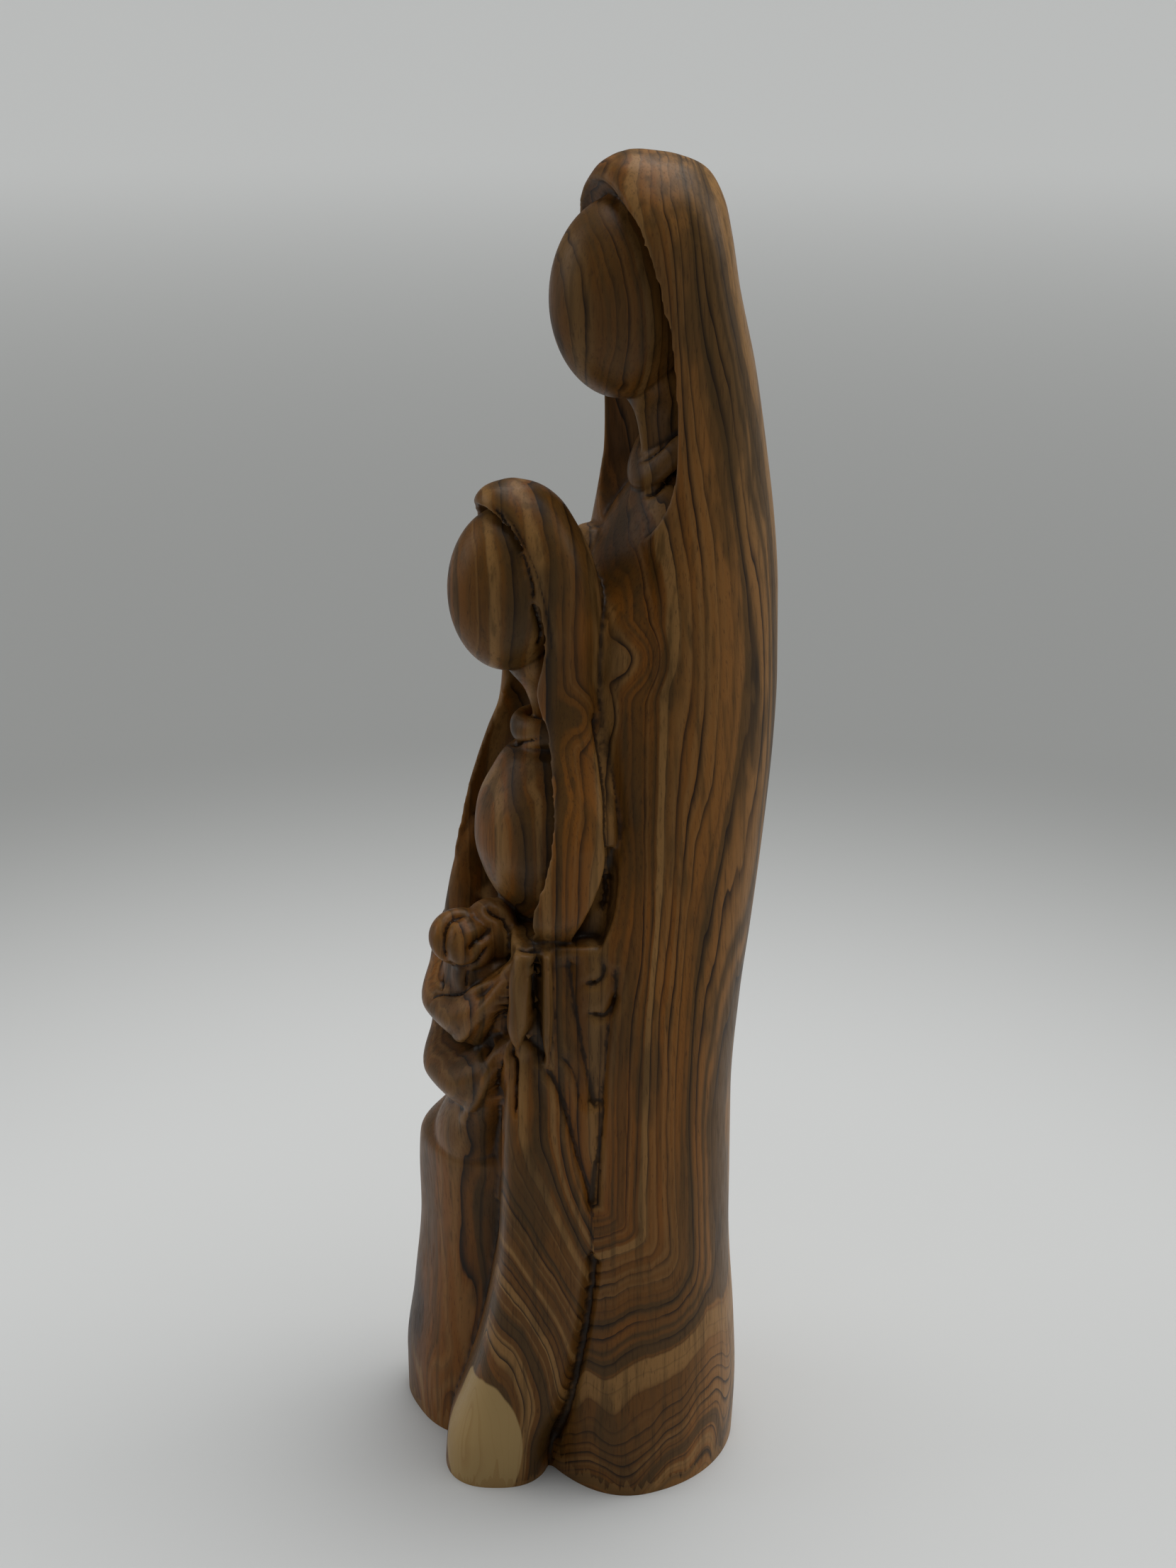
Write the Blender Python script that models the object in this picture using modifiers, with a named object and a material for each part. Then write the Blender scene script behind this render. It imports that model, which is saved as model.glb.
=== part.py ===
"""A holy family group, carved as one from a single upright log of olive wood.

A tall hooded figure stands behind. A smaller hooded figure sits before it, with a swaddled
child across the lap. The robes run down into the one foot that the group stands on.
The front faces -Y, the group stands on the plane z = 0, and its axis is the Z axis.
"""

import bmesh
import bpy
import numpy as np
from mathutils import Matrix

STATUE_HEIGHT = 0.300

# All forms below are shares of the height, counted in three-hundredths of it.
SHARE = STATUE_HEIGHT / 300.0

# How the forms are merged into one skin, and how far that skin is thinned afterwards.
SKIN_GRAIN = 1.25 * SHARE
SKIN_EASING = 5
SKIN_TRIANGLES = 9300
ROUND_STEPS = 72
RISE_STEPS = 90
EGG_STEPS = (40, 28)
SANDING_STRENGTH = 0.5

# Base wood between sapwood and heart, as it looks from a step away.
WOOD_COLOUR = (0.36, 0.215, 0.105, 1.0)
WOOD_ROUGHNESS = 0.42

# The foot runs this far into the ground, a block whose sides and depth are shares of the height,
# and the ground then cuts it flat.
SUNK = -8.0
GROUND_SHARES = (0.6, 0.1)

# The view in which the near side of the robes was laid out: the direction across it, in degrees.
ACROSS = 65.0

# Mantle of the tall figure, from the ground to the crown of the hood.
# height, half width, back, widest at, front, squareness of the front
MANTLE = [
    (SUNK, 37.2, 33.8, 1.0, -19.0, 2.6),
    (15.0, 37.8, 34.8, 1.5, -18.5, 2.6),
    (30.0, 37.4, 34.1, 2.0, -18.0, 2.6),
    (60.0, 36.2, 31.9, 3.5, -17.0, 2.6),
    (90.0, 35.2, 31.9, 4.5, -17.0, 2.8),
    (115.0, 33.8, 34.5, 6.0, -17.0, 3.2),
    (130.0, 31.8, 37.6, 7.5, -15.5, 3.8),
    (155.0, 29.4, 41.5, 11.0, -5.9, 4.0),
    (172.0, 27.8, 43.6, 12.5, -1.4, 4.0),
    (188.0, 26.2, 44.5, 14.0, 2.3, 4.0),
    (205.0, 24.0, 44.5, 16.0, 5.0, 4.0),
    (220.0, 21.6, 43.6, 18.0, 8.0, 4.0),
    (235.0, 20.0, 41.4, 20.0, 9.7, 4.0),
    (255.0, 19.4, 37.4, 21.0, 7.6, 4.0),
    (272.0, 18.7, 33.0, 19.0, 3.0, 3.6),
    (283.0, 17.8, 31.2, 17.0, 0.8, 3.4),
    (290.0, 15.6, 30.0, 15.0, 0.4, 2.5),
    (296.0, 10.8, 27.0, 13.0, 2.4, 2.0),
    (299.0, 5.6, 20.6, 11.5, 6.0, 2.0),
    (300.3, 1.0, 12.6, 11.0, 9.6, 2.0),
]

# Space that the hood opens into, cut from the front. Same columns as the mantle.
HOOD_SPACE = [
    (216.0, 3.0, 12.0, 8.0, -10.0, 3.0),
    (220.0, 11.0, 16.0, 7.0, -16.0, 3.0),
    (228.0, 17.0, 19.5, 9.0, -20.0, 3.0),
    (235.0, 17.5, 23.0, 11.0, -22.0, 3.0),
    (255.0, 17.8, 24.0, 11.0, -24.0, 3.0),
    (272.0, 17.1, 20.0, 7.5, -26.0, 3.0),
    (280.0, 16.2, 16.0, 5.0, -26.0, 2.8),
    (286.0, 14.2, 11.0, 3.0, -26.0, 2.4),
    (290.0, 10.5, 7.0, 2.0, -26.0, 2.2),
    (293.5, 6.0, 4.0, 1.0, -26.0, 2.0),
    (295.0, 1.5, 1.0, 0.0, -20.0, 2.0),
]

# Robe of the tall figure inside the mantle, up to the shoulders.
TALL_ROBE = [
    (118.0, 27.0, 20.0, 2.0, -9.0, 4.0),
    (140.0, 28.0, 22.0, 4.0, -6.0, 4.0),
    (160.0, 27.5, 24.0, 7.3, -4.3, 4.0),
    (180.0, 25.6, 26.0, 13.6, -4.8, 3.0),
    (200.0, 23.0, 28.0, 20.0, -4.4, 2.5),
    (210.0, 21.0, 28.0, 19.5, 1.0, 2.4),
    (218.0, 19.0, 28.0, 19.5, 6.0, 2.3),
    (224.0, 16.0, 28.0, 20.0, 9.4, 2.2),
    (229.0, 12.0, 27.0, 20.0, 12.0, 2.0),
    (232.0, 7.0, 25.0, 20.0, 15.0, 2.0),
]

TALL_NECK = [
    (226.0, 5.0, 27.0, 21.0, 14.4, 2.0),
    (236.0, 5.0, 27.0, 21.0, 13.0, 1.6),
    (245.0, 6.0, 27.0, 19.5, 11.2, 1.6),
    (253.0, 8.4, 27.0, 17.0, 7.0, 2.0),
    (258.0, 6.0, 24.0, 16.0, 9.0, 2.0),
]

# Cloak of the smaller figure, from the sleeve ends to the crown of its hood.
CLOAK = [
    (122.0, 19.5, 4.0, -8.0, -17.0, 3.0),
    (131.0, 20.0, 5.0, -9.0, -20.0, 3.0),
    (136.0, 23.0, 5.0, -10.0, -25.6, 3.4),
    (141.0, 25.6, 5.0, -11.0, -27.0, 3.8),
    (148.0, 26.0, 5.0, -11.0, -25.4, 4.0),
    (155.0, 26.0, 5.0, -11.0, -22.8, 4.4),
    (163.0, 24.8, 5.0, -11.0, -20.6, 4.0),
    (173.0, 20.6, 5.0, -11.0, -18.8, 3.4),
    (181.0, 17.2, 5.0, -11.0, -17.4, 2.6),
    (188.0, 15.2, 4.0, -11.0, -17.2, 2.6),
    (195.0, 14.8, 3.0, -11.0, -18.4, 2.6),
    (203.0, 15.2, 2.2, -11.5, -20.6, 2.6),
    (211.0, 15.0, 0.8, -12.0, -22.6, 2.6),
    (218.0, 14.0, -1.4, -13.0, -24.6, 2.5),
    (224.0, 11.8, -4.4, -14.0, -25.6, 2.4),
    (228.4, 9.0, -7.2, -15.0, -26.0, 2.2),
    (231.4, 6.0, -10.8, -16.0, -24.6, 2.0),
    (233.4, 1.0, -16.8, -18.0, -19.4, 2.0),
]

CLOAK_SPACE = [
    (127.0, 3.0, -14.0, -18.0, -34.0, 3.0),
    (131.0, 13.0, -8.0, -20.0, -48.0, 3.0),
    (138.0, 20.4, -5.0, -22.0, -50.0, 3.0),
    (146.0, 22.6, -5.0, -21.0, -50.0, 3.0),
    (154.0, 23.2, -5.0, -19.0, -50.0, 3.0),
    (163.0, 21.6, -5.0, -17.0, -50.0, 3.0),
    (173.0, 17.0, -5.0, -15.0, -50.0, 3.0),
    (181.0, 12.2, -5.0, -14.0, -50.0, 3.0),
    (188.0, 8.2, -5.0, -14.0, -50.0, 3.0),
    (195.0, 11.2, -6.0, -15.0, -50.0, 3.0),
    (203.0, 13.3, -6.0, -16.0, -50.0, 3.0),
    (211.0, 12.8, -7.0, -17.0, -50.0, 3.0),
    (218.0, 11.6, -9.0, -18.0, -50.0, 2.8),
    (223.0, 9.4, -13.0, -20.0, -50.0, 2.6),
    (227.0, 5.4, -18.0, -22.0, -46.0, 2.4),
    (228.4, 1.2, -22.0, -23.0, -34.0, 2.0),
]

SMALL_NECK = [
    (168.0, 3.8, -4.0, -8.6, -12.6, 2.0),
    (179.0, 3.8, -4.0, -8.8, -13.0, 1.8),
    (186.0, 4.4, -4.0, -10.0, -15.0, 1.8),
    (193.0, 6.6, -4.0, -12.0, -19.5, 2.0),
    (197.0, 5.0, -6.0, -12.0, -18.0, 2.0),
]

SMALL_CHEST = [
    (127.0, 2.0, -12.0, -13.0, -15.0, 2.0),
    (131.0, 6.0, -4.0, -12.0, -17.0, 2.0),
    (137.0, 10.5, 0.0, -11.0, -20.5, 2.0),
    (144.0, 14.6, 0.0, -12.0, -24.2, 2.0),
    (152.0, 17.2, 0.0, -12.0, -26.1, 2.0),
    (160.0, 17.0, 0.0, -11.0, -25.3, 2.0),
    (167.0, 14.0, 0.0, -10.0, -22.2, 2.0),
    (172.0, 10.4, 0.0, -9.5, -19.0, 2.0),
    (175.0, 1.5, -7.0, -9.0, -10.0, 2.0),
]

# Body of the group behind the child, between the arms.
CORE = [
    (66.0, 26.0, 10.0, -8.0, -25.5, 2.4),
    (100.0, 24.0, 8.0, -8.0, -25.5, 2.4),
    (118.0, 22.5, 4.0, -8.0, -22.5, 2.4),
    (128.0, 20.0, 2.0, -8.0, -18.5, 2.4),
    (133.0, 14.0, 0.0, -8.0, -14.0, 2.4),
]

# Far arm of the cloak, which comes forward round the child.
# height, place (x, y), half sizes (a, b), turn of a from +X in degrees, squareness
FAR_ARM = [
    (84.0, -21.0, -17.5, 9.0, 8.0, -40.0, 2.4),
    (100.0, -22.0, -17.5, 9.5, 8.0, -42.0, 2.4),
    (112.0, -22.5, -17.5, 9.8, 7.8, -44.0, 2.4),
    (124.0, -23.4, -17.6, 10.0, 7.0, -50.0, 2.4),
    (134.0, -23.6, -16.8, 9.6, 5.2, -62.0, 2.2),
    (142.0, -23.6, -15.4, 8.4, 3.4, -74.0, 2.0),
    (150.0, -23.6, -13.0, 6.0, 2.4, -84.0, 2.0),
]

# Web between the smaller hood and the far shoulder.
SHOULDER_WEB = [
    (194.0, -12.0, 6.6, 8.0, 6.0, 0.0, 2.4),
    (210.0, -12.0, 6.0, 8.0, 6.0, 0.0, 2.4),
    (214.6, -12.6, 6.4, 7.0, 5.0, 0.0, 2.2),
    (218.2, -13.0, 7.4, 4.0, 3.0, 0.0, 2.0),
]

CHILD_BODY = [
    (112.0, -2.0, -22.0, 17.0, 13.0, 0.0, 2.0),
    (120.0, -2.0, -23.0, 14.0, 11.0, 0.0, 2.0),
    (126.0, -2.0, -25.0, 10.0, 8.0, 0.0, 2.0),
    (129.0, -2.0, -26.0, 4.0, 3.0, 0.0, 2.0),
]

CHILD_NECK = [
    (114.0, 2.0, -29.5, 5.0, 4.0, 0.0, 3.0),
    (122.0, 2.0, -30.5, 4.2, 3.6, 0.0, 3.0),
    (127.0, 2.0, -30.0, 4.0, 3.4, 0.0, 3.0),
]

LAP = [
    (SUNK, -18.8, -15.2, 21.0, 22.0, 0.0, 2.6),
    (12.0, -18.8, -15.2, 21.0, 22.2, 0.0, 2.6),
    (30.0, -18.0, -13.8, 20.4, 21.6, 0.0, 2.6),
    (50.0, -16.4, -12.5, 20.2, 21.6, 0.0, 2.5),
    (66.0, -14.6, -12.5, 21.0, 22.4, 0.0, 2.4),
    (73.5, -12.8, -12.5, 21.0, 22.9, 0.0, 2.3),
    (79.5, -11.4, -12.3, 18.0, 20.2, 0.0, 2.2),
    (86.0, -9.4, -12.0, 12.0, 15.4, 0.0, 2.2),
]

# A hanging fold of the child's wrap: place of its middle line, half depth, half height.
WRAP_FOLD = [
    (-27.0, -15.0, 16.4, 5.0, 6.0),
    (-24.0, -20.0, 10.4, 7.0, 6.6),
    (-16.0, -24.4, 4.0, 8.0, 7.0),
    (-6.0, -29.0, -0.2, 8.8, 7.3),
    (2.0, -29.2, 0.0, 8.6, 7.3),
    (9.0, -26.6, 4.4, 8.0, 6.4),
    (14.5, -23.0, 11.0, 6.6, 5.4),
    (18.0, -18.6, 18.9, 5.0, 4.6),
    (19.0, -14.0, 25.4, 3.0, 3.0),
]
WRAP_HEIGHTS = (112.8, 96.6)

# The folds swell away from this place. Their section is round on top and keeled below, and their
# ends close the more abruptly, the higher the power is.
WRAP_HEART = (0.0, -8.0, 0.0)
FOLD_TOP = 1.9
FOLD_KEEL = 1.5
FOLD_END_POWER = 12
FOLD_END_LEFT = 0.02

# Near fold of the robe, from the ledge down to the foot that it ends in, laid out in the view.
# height, left and right edge across the view, how near its face is, half depth, squareness
NEAR_FOLD = [
    (SUNK, -34.4, -9.0, 32.6, 15.0, 2.4),
    (8.0, -33.2, -8.6, 32.6, 15.0, 2.6),
    (20.0, -29.2, -4.0, 32.2, 15.0, 3.0),
    (32.0, -25.6, -1.4, 32.4, 15.0, 3.4),
    (46.0, -22.7, 0.8, 33.0, 16.0, 3.8),
    (60.0, -20.6, 1.8, 33.2, 17.0, 4.2),
    (76.0, -19.8, -1.0, 32.4, 17.0, 4.4),
    (92.0, -19.4, -5.4, 31.4, 16.0, 4.4),
    (104.0, -19.0, -9.0, 29.8, 15.0, 4.0),
    (112.0, -18.6, -12.0, 27.8, 13.0, 3.0),
]

# Panel beside it that hangs from the ledge and runs out to a point.
NEAR_PANEL = [
    (60.0, -4.0, 4.4, 32.4, 12.0, 2.8),
    (74.0, -8.0, 5.4, 32.2, 12.0, 3.0),
    (92.0, -12.0, 5.6, 31.6, 13.0, 3.4),
    (110.0, -15.0, 6.2, 31.0, 13.0, 3.6),
    (124.0, -16.6, 6.8, 30.2, 13.0, 4.0),
    (133.2, -17.0, 5.2, 29.2, 13.0, 5.0),
    (134.4, -16.6, 4.4, 28.6, 12.6, 5.0),
]

# Knee under the wrap: its crest climbs to the near fold's edge. Same columns as the near fold.
KNEE = [
    (66.0, -34.0, -12.0, 8.0, 12.0, 2.0),
    (76.0, -36.0, -13.0, 14.6, 14.0, 2.0),
    (82.0, -35.0, -15.0, 16.6, 14.0, 2.0),
    (88.0, -32.0, -16.0, 19.0, 14.0, 2.0),
    (94.0, -28.0, -16.6, 22.0, 13.0, 2.0),
    (100.0, -24.0, -17.0, 24.8, 12.0, 2.0),
    (105.0, -21.6, -17.2, 26.4, 10.0, 2.0),
]

# Lobe of cloth that hangs from the ledge, and the narrow ridge beside it.
LEDGE_LOBE = [
    (110.5, -16.2, -15.4, 30.2, 3.0, 2.0),
    (114.0, -17.6, -13.6, 31.8, 3.8, 2.0),
    (120.0, -17.8, -11.8, 32.8, 4.4, 2.2),
    (127.0, -17.4, -11.2, 33.0, 4.4, 2.4),
    (134.0, -16.2, -11.0, 31.8, 4.0, 2.6),
]

LEDGE_RIDGE = [
    (104.0, -10.4, -9.6, 30.4, 2.4, 2.0),
    (111.0, -10.5, -8.0, 32.2, 3.2, 1.6),
    (120.0, -10.4, -7.6, 33.0, 3.8, 1.6),
    (128.0, -10.3, -7.8, 33.0, 3.8, 1.6),
    (134.0, -10.0, -8.0, 32.0, 3.2, 1.8),
]

# Pocket behind the sleeve, above the ledge: height, place, half sizes, turn, squareness.
POCKET = [
    (132.6, 23.6, -12.2, 3.4, 3.6, 65.0, 3.0),
    (134.5, 23.9, -11.6, 3.5, 4.8, 65.0, 3.0),
    (140.0, 24.4, -9.2, 3.3, 4.6, 65.0, 2.6),
    (148.0, 24.5, -6.7, 2.2, 3.4, 65.0, 2.2),
    (156.0, 24.2, -5.3, 1.0, 1.8, 65.0, 2.0),
]

# Heads and the child's hood: place of the middle, half sizes.
TALL_FACE = ((0.0, 8.2, 270.0), (13.8, 16.2, 21.4))
SMALL_FACE = ((0.0, -19.4, 209.6), (12.0, 12.9, 18.0))
CHILD_HEAD = ((0.2, -31.6, 131.0), (7.0, 7.2, 6.4))
CHILD_FACE = ((3.4, -30.6, 130.4), (6.0, 6.2, 5.8))
CHILD_HOOD = ((1.2, -24.4, 131.6), (7.4, 6.4, 7.4))

# Rolled collars: place of the middle, radius across, radius in depth, thickness, height, tilt.
TALL_COLLAR = ((0.0, 20.8, 240.4), 8.2, 7.8, 2.5, 3.4, 44.0)
SMALL_COLLAR = ((0.0, -8.6, 177.4), 7.0, 7.2, 2.4, 3.3, 0.0)


def smooth_rows(table, count):
    """Rows at even spacing along a smooth curve that passes through the rows of the table."""
    rows = np.array(table, float)
    gaps = np.linalg.norm(np.diff(rows[:, :-1], axis=0), axis=1)
    knots = np.concatenate([[0.0], np.cumsum(gaps)])
    slopes = np.diff(rows, axis=0) / gaps[:, None]
    tangents = np.zeros_like(rows)
    mean = (slopes[:-1] + slopes[1:]) / 2.0
    limit = 3.0 * np.minimum(np.abs(slopes[:-1]), np.abs(slopes[1:]))
    same_way = slopes[:-1] * slopes[1:] > 0.0
    tangents[1:-1] = np.where(same_way, np.sign(mean) * np.minimum(np.abs(mean), limit), 0.0)
    tangents[0] = slopes[0]
    tangents[-1] = slopes[-1]
    at = np.linspace(0.0, knots[-1], count)
    lower = np.clip(np.searchsorted(knots, at, side="right") - 1, 0, len(gaps) - 1)
    span = gaps[lower][:, None]
    t = (at[:, None] - knots[lower][:, None]) / span
    start, end = rows[lower], rows[lower + 1]
    leaving, arriving = tangents[lower] * span, tangents[lower + 1] * span
    return (
        (2.0 * t**3 - 3.0 * t**2 + 1.0) * start
        + (t**3 - 2.0 * t**2 + t) * leaving
        + (3.0 * t**2 - 2.0 * t**3) * end
        + (t**3 - t**2) * arriving
    ).T


def rounded(angle, squareness):
    """Point of a superellipse with half sizes of one: 2 is round, more is squarer, less is keeled."""
    across, up = np.cos(angle), np.sin(angle)
    power = 2.0 / squareness
    return np.sign(across) * np.abs(across) ** power, np.sign(up) * np.abs(up) ** power


def skin(rings, joined_ends=False):
    """Closed mesh through rings of points, closed by a fan at each end or joined end to end."""
    count, around = rings.shape[:2]
    rows = count if joined_ends else count - 1
    ring, step = np.meshgrid(np.arange(rows), np.arange(around), indexing="ij")
    next_ring, next_step = (ring + 1) % count, (step + 1) % around
    corners = [(ring, step), (ring, next_step), (next_ring, next_step), (next_ring, step)]
    faces = np.stack([i * around + j for i, j in corners], -1).reshape(-1, 4).tolist()
    points = rings.reshape(-1, 3)
    if not joined_ends:
        points = np.concatenate([points, rings[[0, -1]].mean(axis=1)])
        step = np.arange(around)
        after, last = (step + 1) % around, (count - 1) * around
        faces += np.stack([np.full(around, count * around), after, step], -1).tolist()
        faces += np.stack([np.full(around, count * around + 1), last + step, last + after], -1).tolist()
    mesh = bpy.data.meshes.new("form")
    mesh.from_pydata((points * SHARE).tolist(), [], faces)
    work = bmesh.new()
    work.from_mesh(mesh)
    bmesh.ops.recalc_face_normals(work, faces=work.faces)
    work.to_mesh(mesh)
    work.free()
    return mesh


def wrap(table):
    """Loft of D-shaped sections: round behind, and as square in front as the table says."""
    height, half_width, back, widest, front, squareness = smooth_rows(table, RISE_STEPS)[..., None]
    angle = np.linspace(0.0, 2.0 * np.pi, ROUND_STEPS, endpoint=False)
    x, behind = rounded(angle, np.where(np.sin(angle) > 0.0, 2.0, squareness))
    depth = np.where(behind > 0.0, back - widest, widest - front)
    return skin(np.stack([half_width * x, widest + depth * behind, height + 0.0 * x], -1))


def stack(table):
    """Loft of superellipses, each with its own place, half sizes and turn."""
    height, x, y, half_a, half_b, turn, squareness = smooth_rows(table, RISE_STEPS)[..., None]
    angle = np.linspace(0.0, 2.0 * np.pi, ROUND_STEPS, endpoint=False)
    a, b = rounded(angle, squareness)
    a, b = half_a * a, half_b * b
    turn = np.radians(turn)
    east = x + a * np.cos(turn) - b * np.sin(turn)
    north = y + a * np.sin(turn) + b * np.cos(turn)
    return skin(np.stack([east, north, height + 0.0 * a], -1))


def in_view(table):
    """Rows for stack from rows that give left edge, right edge and nearness in the view."""
    turn = np.radians(ACROSS)
    rows = []
    for height, left, right, near, depth, squareness in table:
        across, middle = (left + right) / 2.0, near - depth
        x = across * np.cos(turn) + middle * np.sin(turn)
        y = across * np.sin(turn) - middle * np.cos(turn)
        rows.append((height, x, y, (right - left) / 2.0, depth, ACROSS, squareness))
    return rows


def hanging_fold(height):
    """A U-shaped roll of cloth: round on top, keeled below, its ends rounded off."""
    x, y, z, depth, rise = smooth_rows(WRAP_FOLD, RISE_STEPS)
    path = np.stack([x, y, z + height], -1)
    along = np.gradient(path, axis=0)
    along /= np.linalg.norm(along, axis=1, keepdims=True)
    outwards = path - WRAP_HEART
    outwards[:, 2] = 0.0
    outwards -= (outwards * along).sum(axis=1, keepdims=True) * along
    outwards /= np.linalg.norm(outwards, axis=1, keepdims=True)
    upwards = np.cross(along, outwards)
    upwards *= np.sign(upwards[:, 2:])
    run = np.linspace(-1.0, 1.0, RISE_STEPS)
    closing = np.sqrt(1.0 - np.abs(run) ** FOLD_END_POWER)[:, None] + FOLD_END_LEFT
    angle = np.linspace(0.0, 2.0 * np.pi, ROUND_STEPS // 2, endpoint=False)
    out, up = rounded(angle, np.where(np.sin(angle) > 0.0, FOLD_TOP, FOLD_KEEL))
    section = (depth[:, None] * closing * out)[..., None] * outwards[:, None]
    section = section + (rise[:, None] * closing * up)[..., None] * upwards[:, None]
    return skin(path[:, None] + section)


def egg(place, half_sizes):
    """Ellipsoid from a sphere."""
    work = bmesh.new()
    bmesh.ops.create_uvsphere(work, u_segments=EGG_STEPS[0], v_segments=EGG_STEPS[1], radius=1.0)
    sized = Matrix.Scale(SHARE, 4) @ Matrix.Translation(place) @ Matrix.Diagonal((*half_sizes, 1.0))
    bmesh.ops.transform(work, matrix=sized, verts=work.verts)
    mesh = bpy.data.meshes.new("form")
    work.to_mesh(mesh)
    work.free()
    return mesh


def rolled_collar(place, across, in_depth, thick, tall, tilt):
    """Ring of cloth about a neck, higher behind by the tilt."""
    turn = np.linspace(0.0, 2.0 * np.pi, ROUND_STEPS, endpoint=False)[:, None]
    angle = np.linspace(0.0, 2.0 * np.pi, ROUND_STEPS // 3, endpoint=False)
    reach = thick * np.cos(angle)
    x = (across + reach) * np.cos(turn)
    y = (in_depth + reach) * np.sin(turn)
    z = tall * np.sin(angle) + y * np.tan(np.radians(tilt))
    return skin(np.stack([x, y, z], -1) + place, joined_ends=True)


def placed(mesh, name, collection):
    """Object with this mesh in this collection."""
    item = bpy.data.objects.new(name, mesh)
    collection.objects.link(item)
    return item


def cut(form, name, *hollows):
    """The form's mesh with the hollows cut out of it. The cutters stay, as wires."""
    body = placed(form, name, cutters)
    for number, hollow in enumerate(hollows):
        tool = placed(hollow, f"{name}_space_{number}", cutters)
        tool.hide_render = True
        tool.display_type = "WIRE"
        step = body.modifiers.new("hollow", "BOOLEAN")
        step.operation = "DIFFERENCE"
        step.object = tool
    bpy.context.view_layer.update()
    mesh = bpy.data.meshes.new_from_object(body.evaluated_get(bpy.context.evaluated_depsgraph_get()))
    bpy.data.objects.remove(body)
    return mesh


def wood():
    """Oiled olive wood."""
    material = bpy.data.materials.new("olive_wood")
    material.use_nodes = True
    shader = material.node_tree.nodes["Principled BSDF"]
    shader.inputs["Base Color"].default_value = WOOD_COLOUR
    shader.inputs["Roughness"].default_value = WOOD_ROUGHNESS
    shader.inputs["Metallic"].default_value = 0.0
    return material


for item in list(bpy.data.objects):
    bpy.data.objects.remove(item)

group = bpy.data.collections.new("holy_family_statue")
cutters = bpy.data.collections.new("cutters")
bpy.context.scene.collection.children.link(group)
bpy.context.scene.collection.children.link(cutters)

forms = [
    cut(wrap(MANTLE), "mantle", wrap(HOOD_SPACE), stack(POCKET)),
    cut(wrap(TALL_ROBE), "tall_robe", stack(POCKET)),
    cut(wrap(CLOAK), "cloak", wrap(CLOAK_SPACE), stack(POCKET)),
    wrap(TALL_NECK),
    wrap(SMALL_NECK),
    wrap(SMALL_CHEST),
    wrap(CORE),
    stack(FAR_ARM),
    stack(SHOULDER_WEB),
    stack(CHILD_BODY),
    stack(CHILD_NECK),
    stack(LAP),
    rolled_collar(*TALL_COLLAR),
    rolled_collar(*SMALL_COLLAR),
]
forms += [egg(*head) for head in (TALL_FACE, SMALL_FACE, CHILD_HEAD, CHILD_FACE, CHILD_HOOD)]
forms += [hanging_fold(height) for height in WRAP_HEIGHTS]
forms += [stack(in_view(rows)) for rows in (NEAR_FOLD, NEAR_PANEL, KNEE, LEDGE_LOBE, LEDGE_RIDGE)]

# All forms overlap. They become one closed skin, eased as if sanded, and thinned.
merged = bmesh.new()
for form in forms:
    merged.from_mesh(form)
mesh = bpy.data.meshes.new("holy_family")
merged.to_mesh(mesh)
merged.free()
statue = placed(mesh, "holy_family", group)
statue.data.materials.append(wood())

one_skin = statue.modifiers.new("one_skin", "REMESH")
one_skin.mode = "VOXEL"
one_skin.voxel_size = SKIN_GRAIN

sanding = statue.modifiers.new("sanding", "SMOOTH")
sanding.factor = SANDING_STRENGTH
sanding.iterations = SKIN_EASING

bpy.context.view_layer.update()
evaluated = statue.evaluated_get(bpy.context.evaluated_depsgraph_get())
fine_skin = bpy.data.meshes.new_from_object(evaluated)
fine_triangles = sum(len(face.vertices) - 2 for face in fine_skin.polygons)
bpy.data.meshes.remove(fine_skin)

thinning = statue.modifiers.new("thinning", "DECIMATE")
thinning.ratio = SKIN_TRIANGLES / fine_triangles

# The ground cuts the foot flat, so that the group stands on the plane z = 0.
work = bmesh.new()
bmesh.ops.create_cube(work, size=1.0)
ground_side, ground_depth = (share * STATUE_HEIGHT for share in GROUND_SHARES)
bmesh.ops.scale(work, vec=(ground_side, ground_side, ground_depth), verts=work.verts)
bmesh.ops.translate(work, vec=(0.0, 0.0, -ground_depth / 2.0), verts=work.verts)
ground_mesh = bpy.data.meshes.new("ground")
work.to_mesh(ground_mesh)
work.free()
ground = placed(ground_mesh, "ground", cutters)
ground.hide_render = True
ground.display_type = "WIRE"
flat_foot = statue.modifiers.new("flat_foot", "BOOLEAN")
flat_foot.operation = "DIFFERENCE"
flat_foot.object = ground
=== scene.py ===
import math

import bmesh
import bpy
import numpy as np
from mathutils import Matrix, Vector
from mathutils.bvhtree import BVHTree


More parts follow.
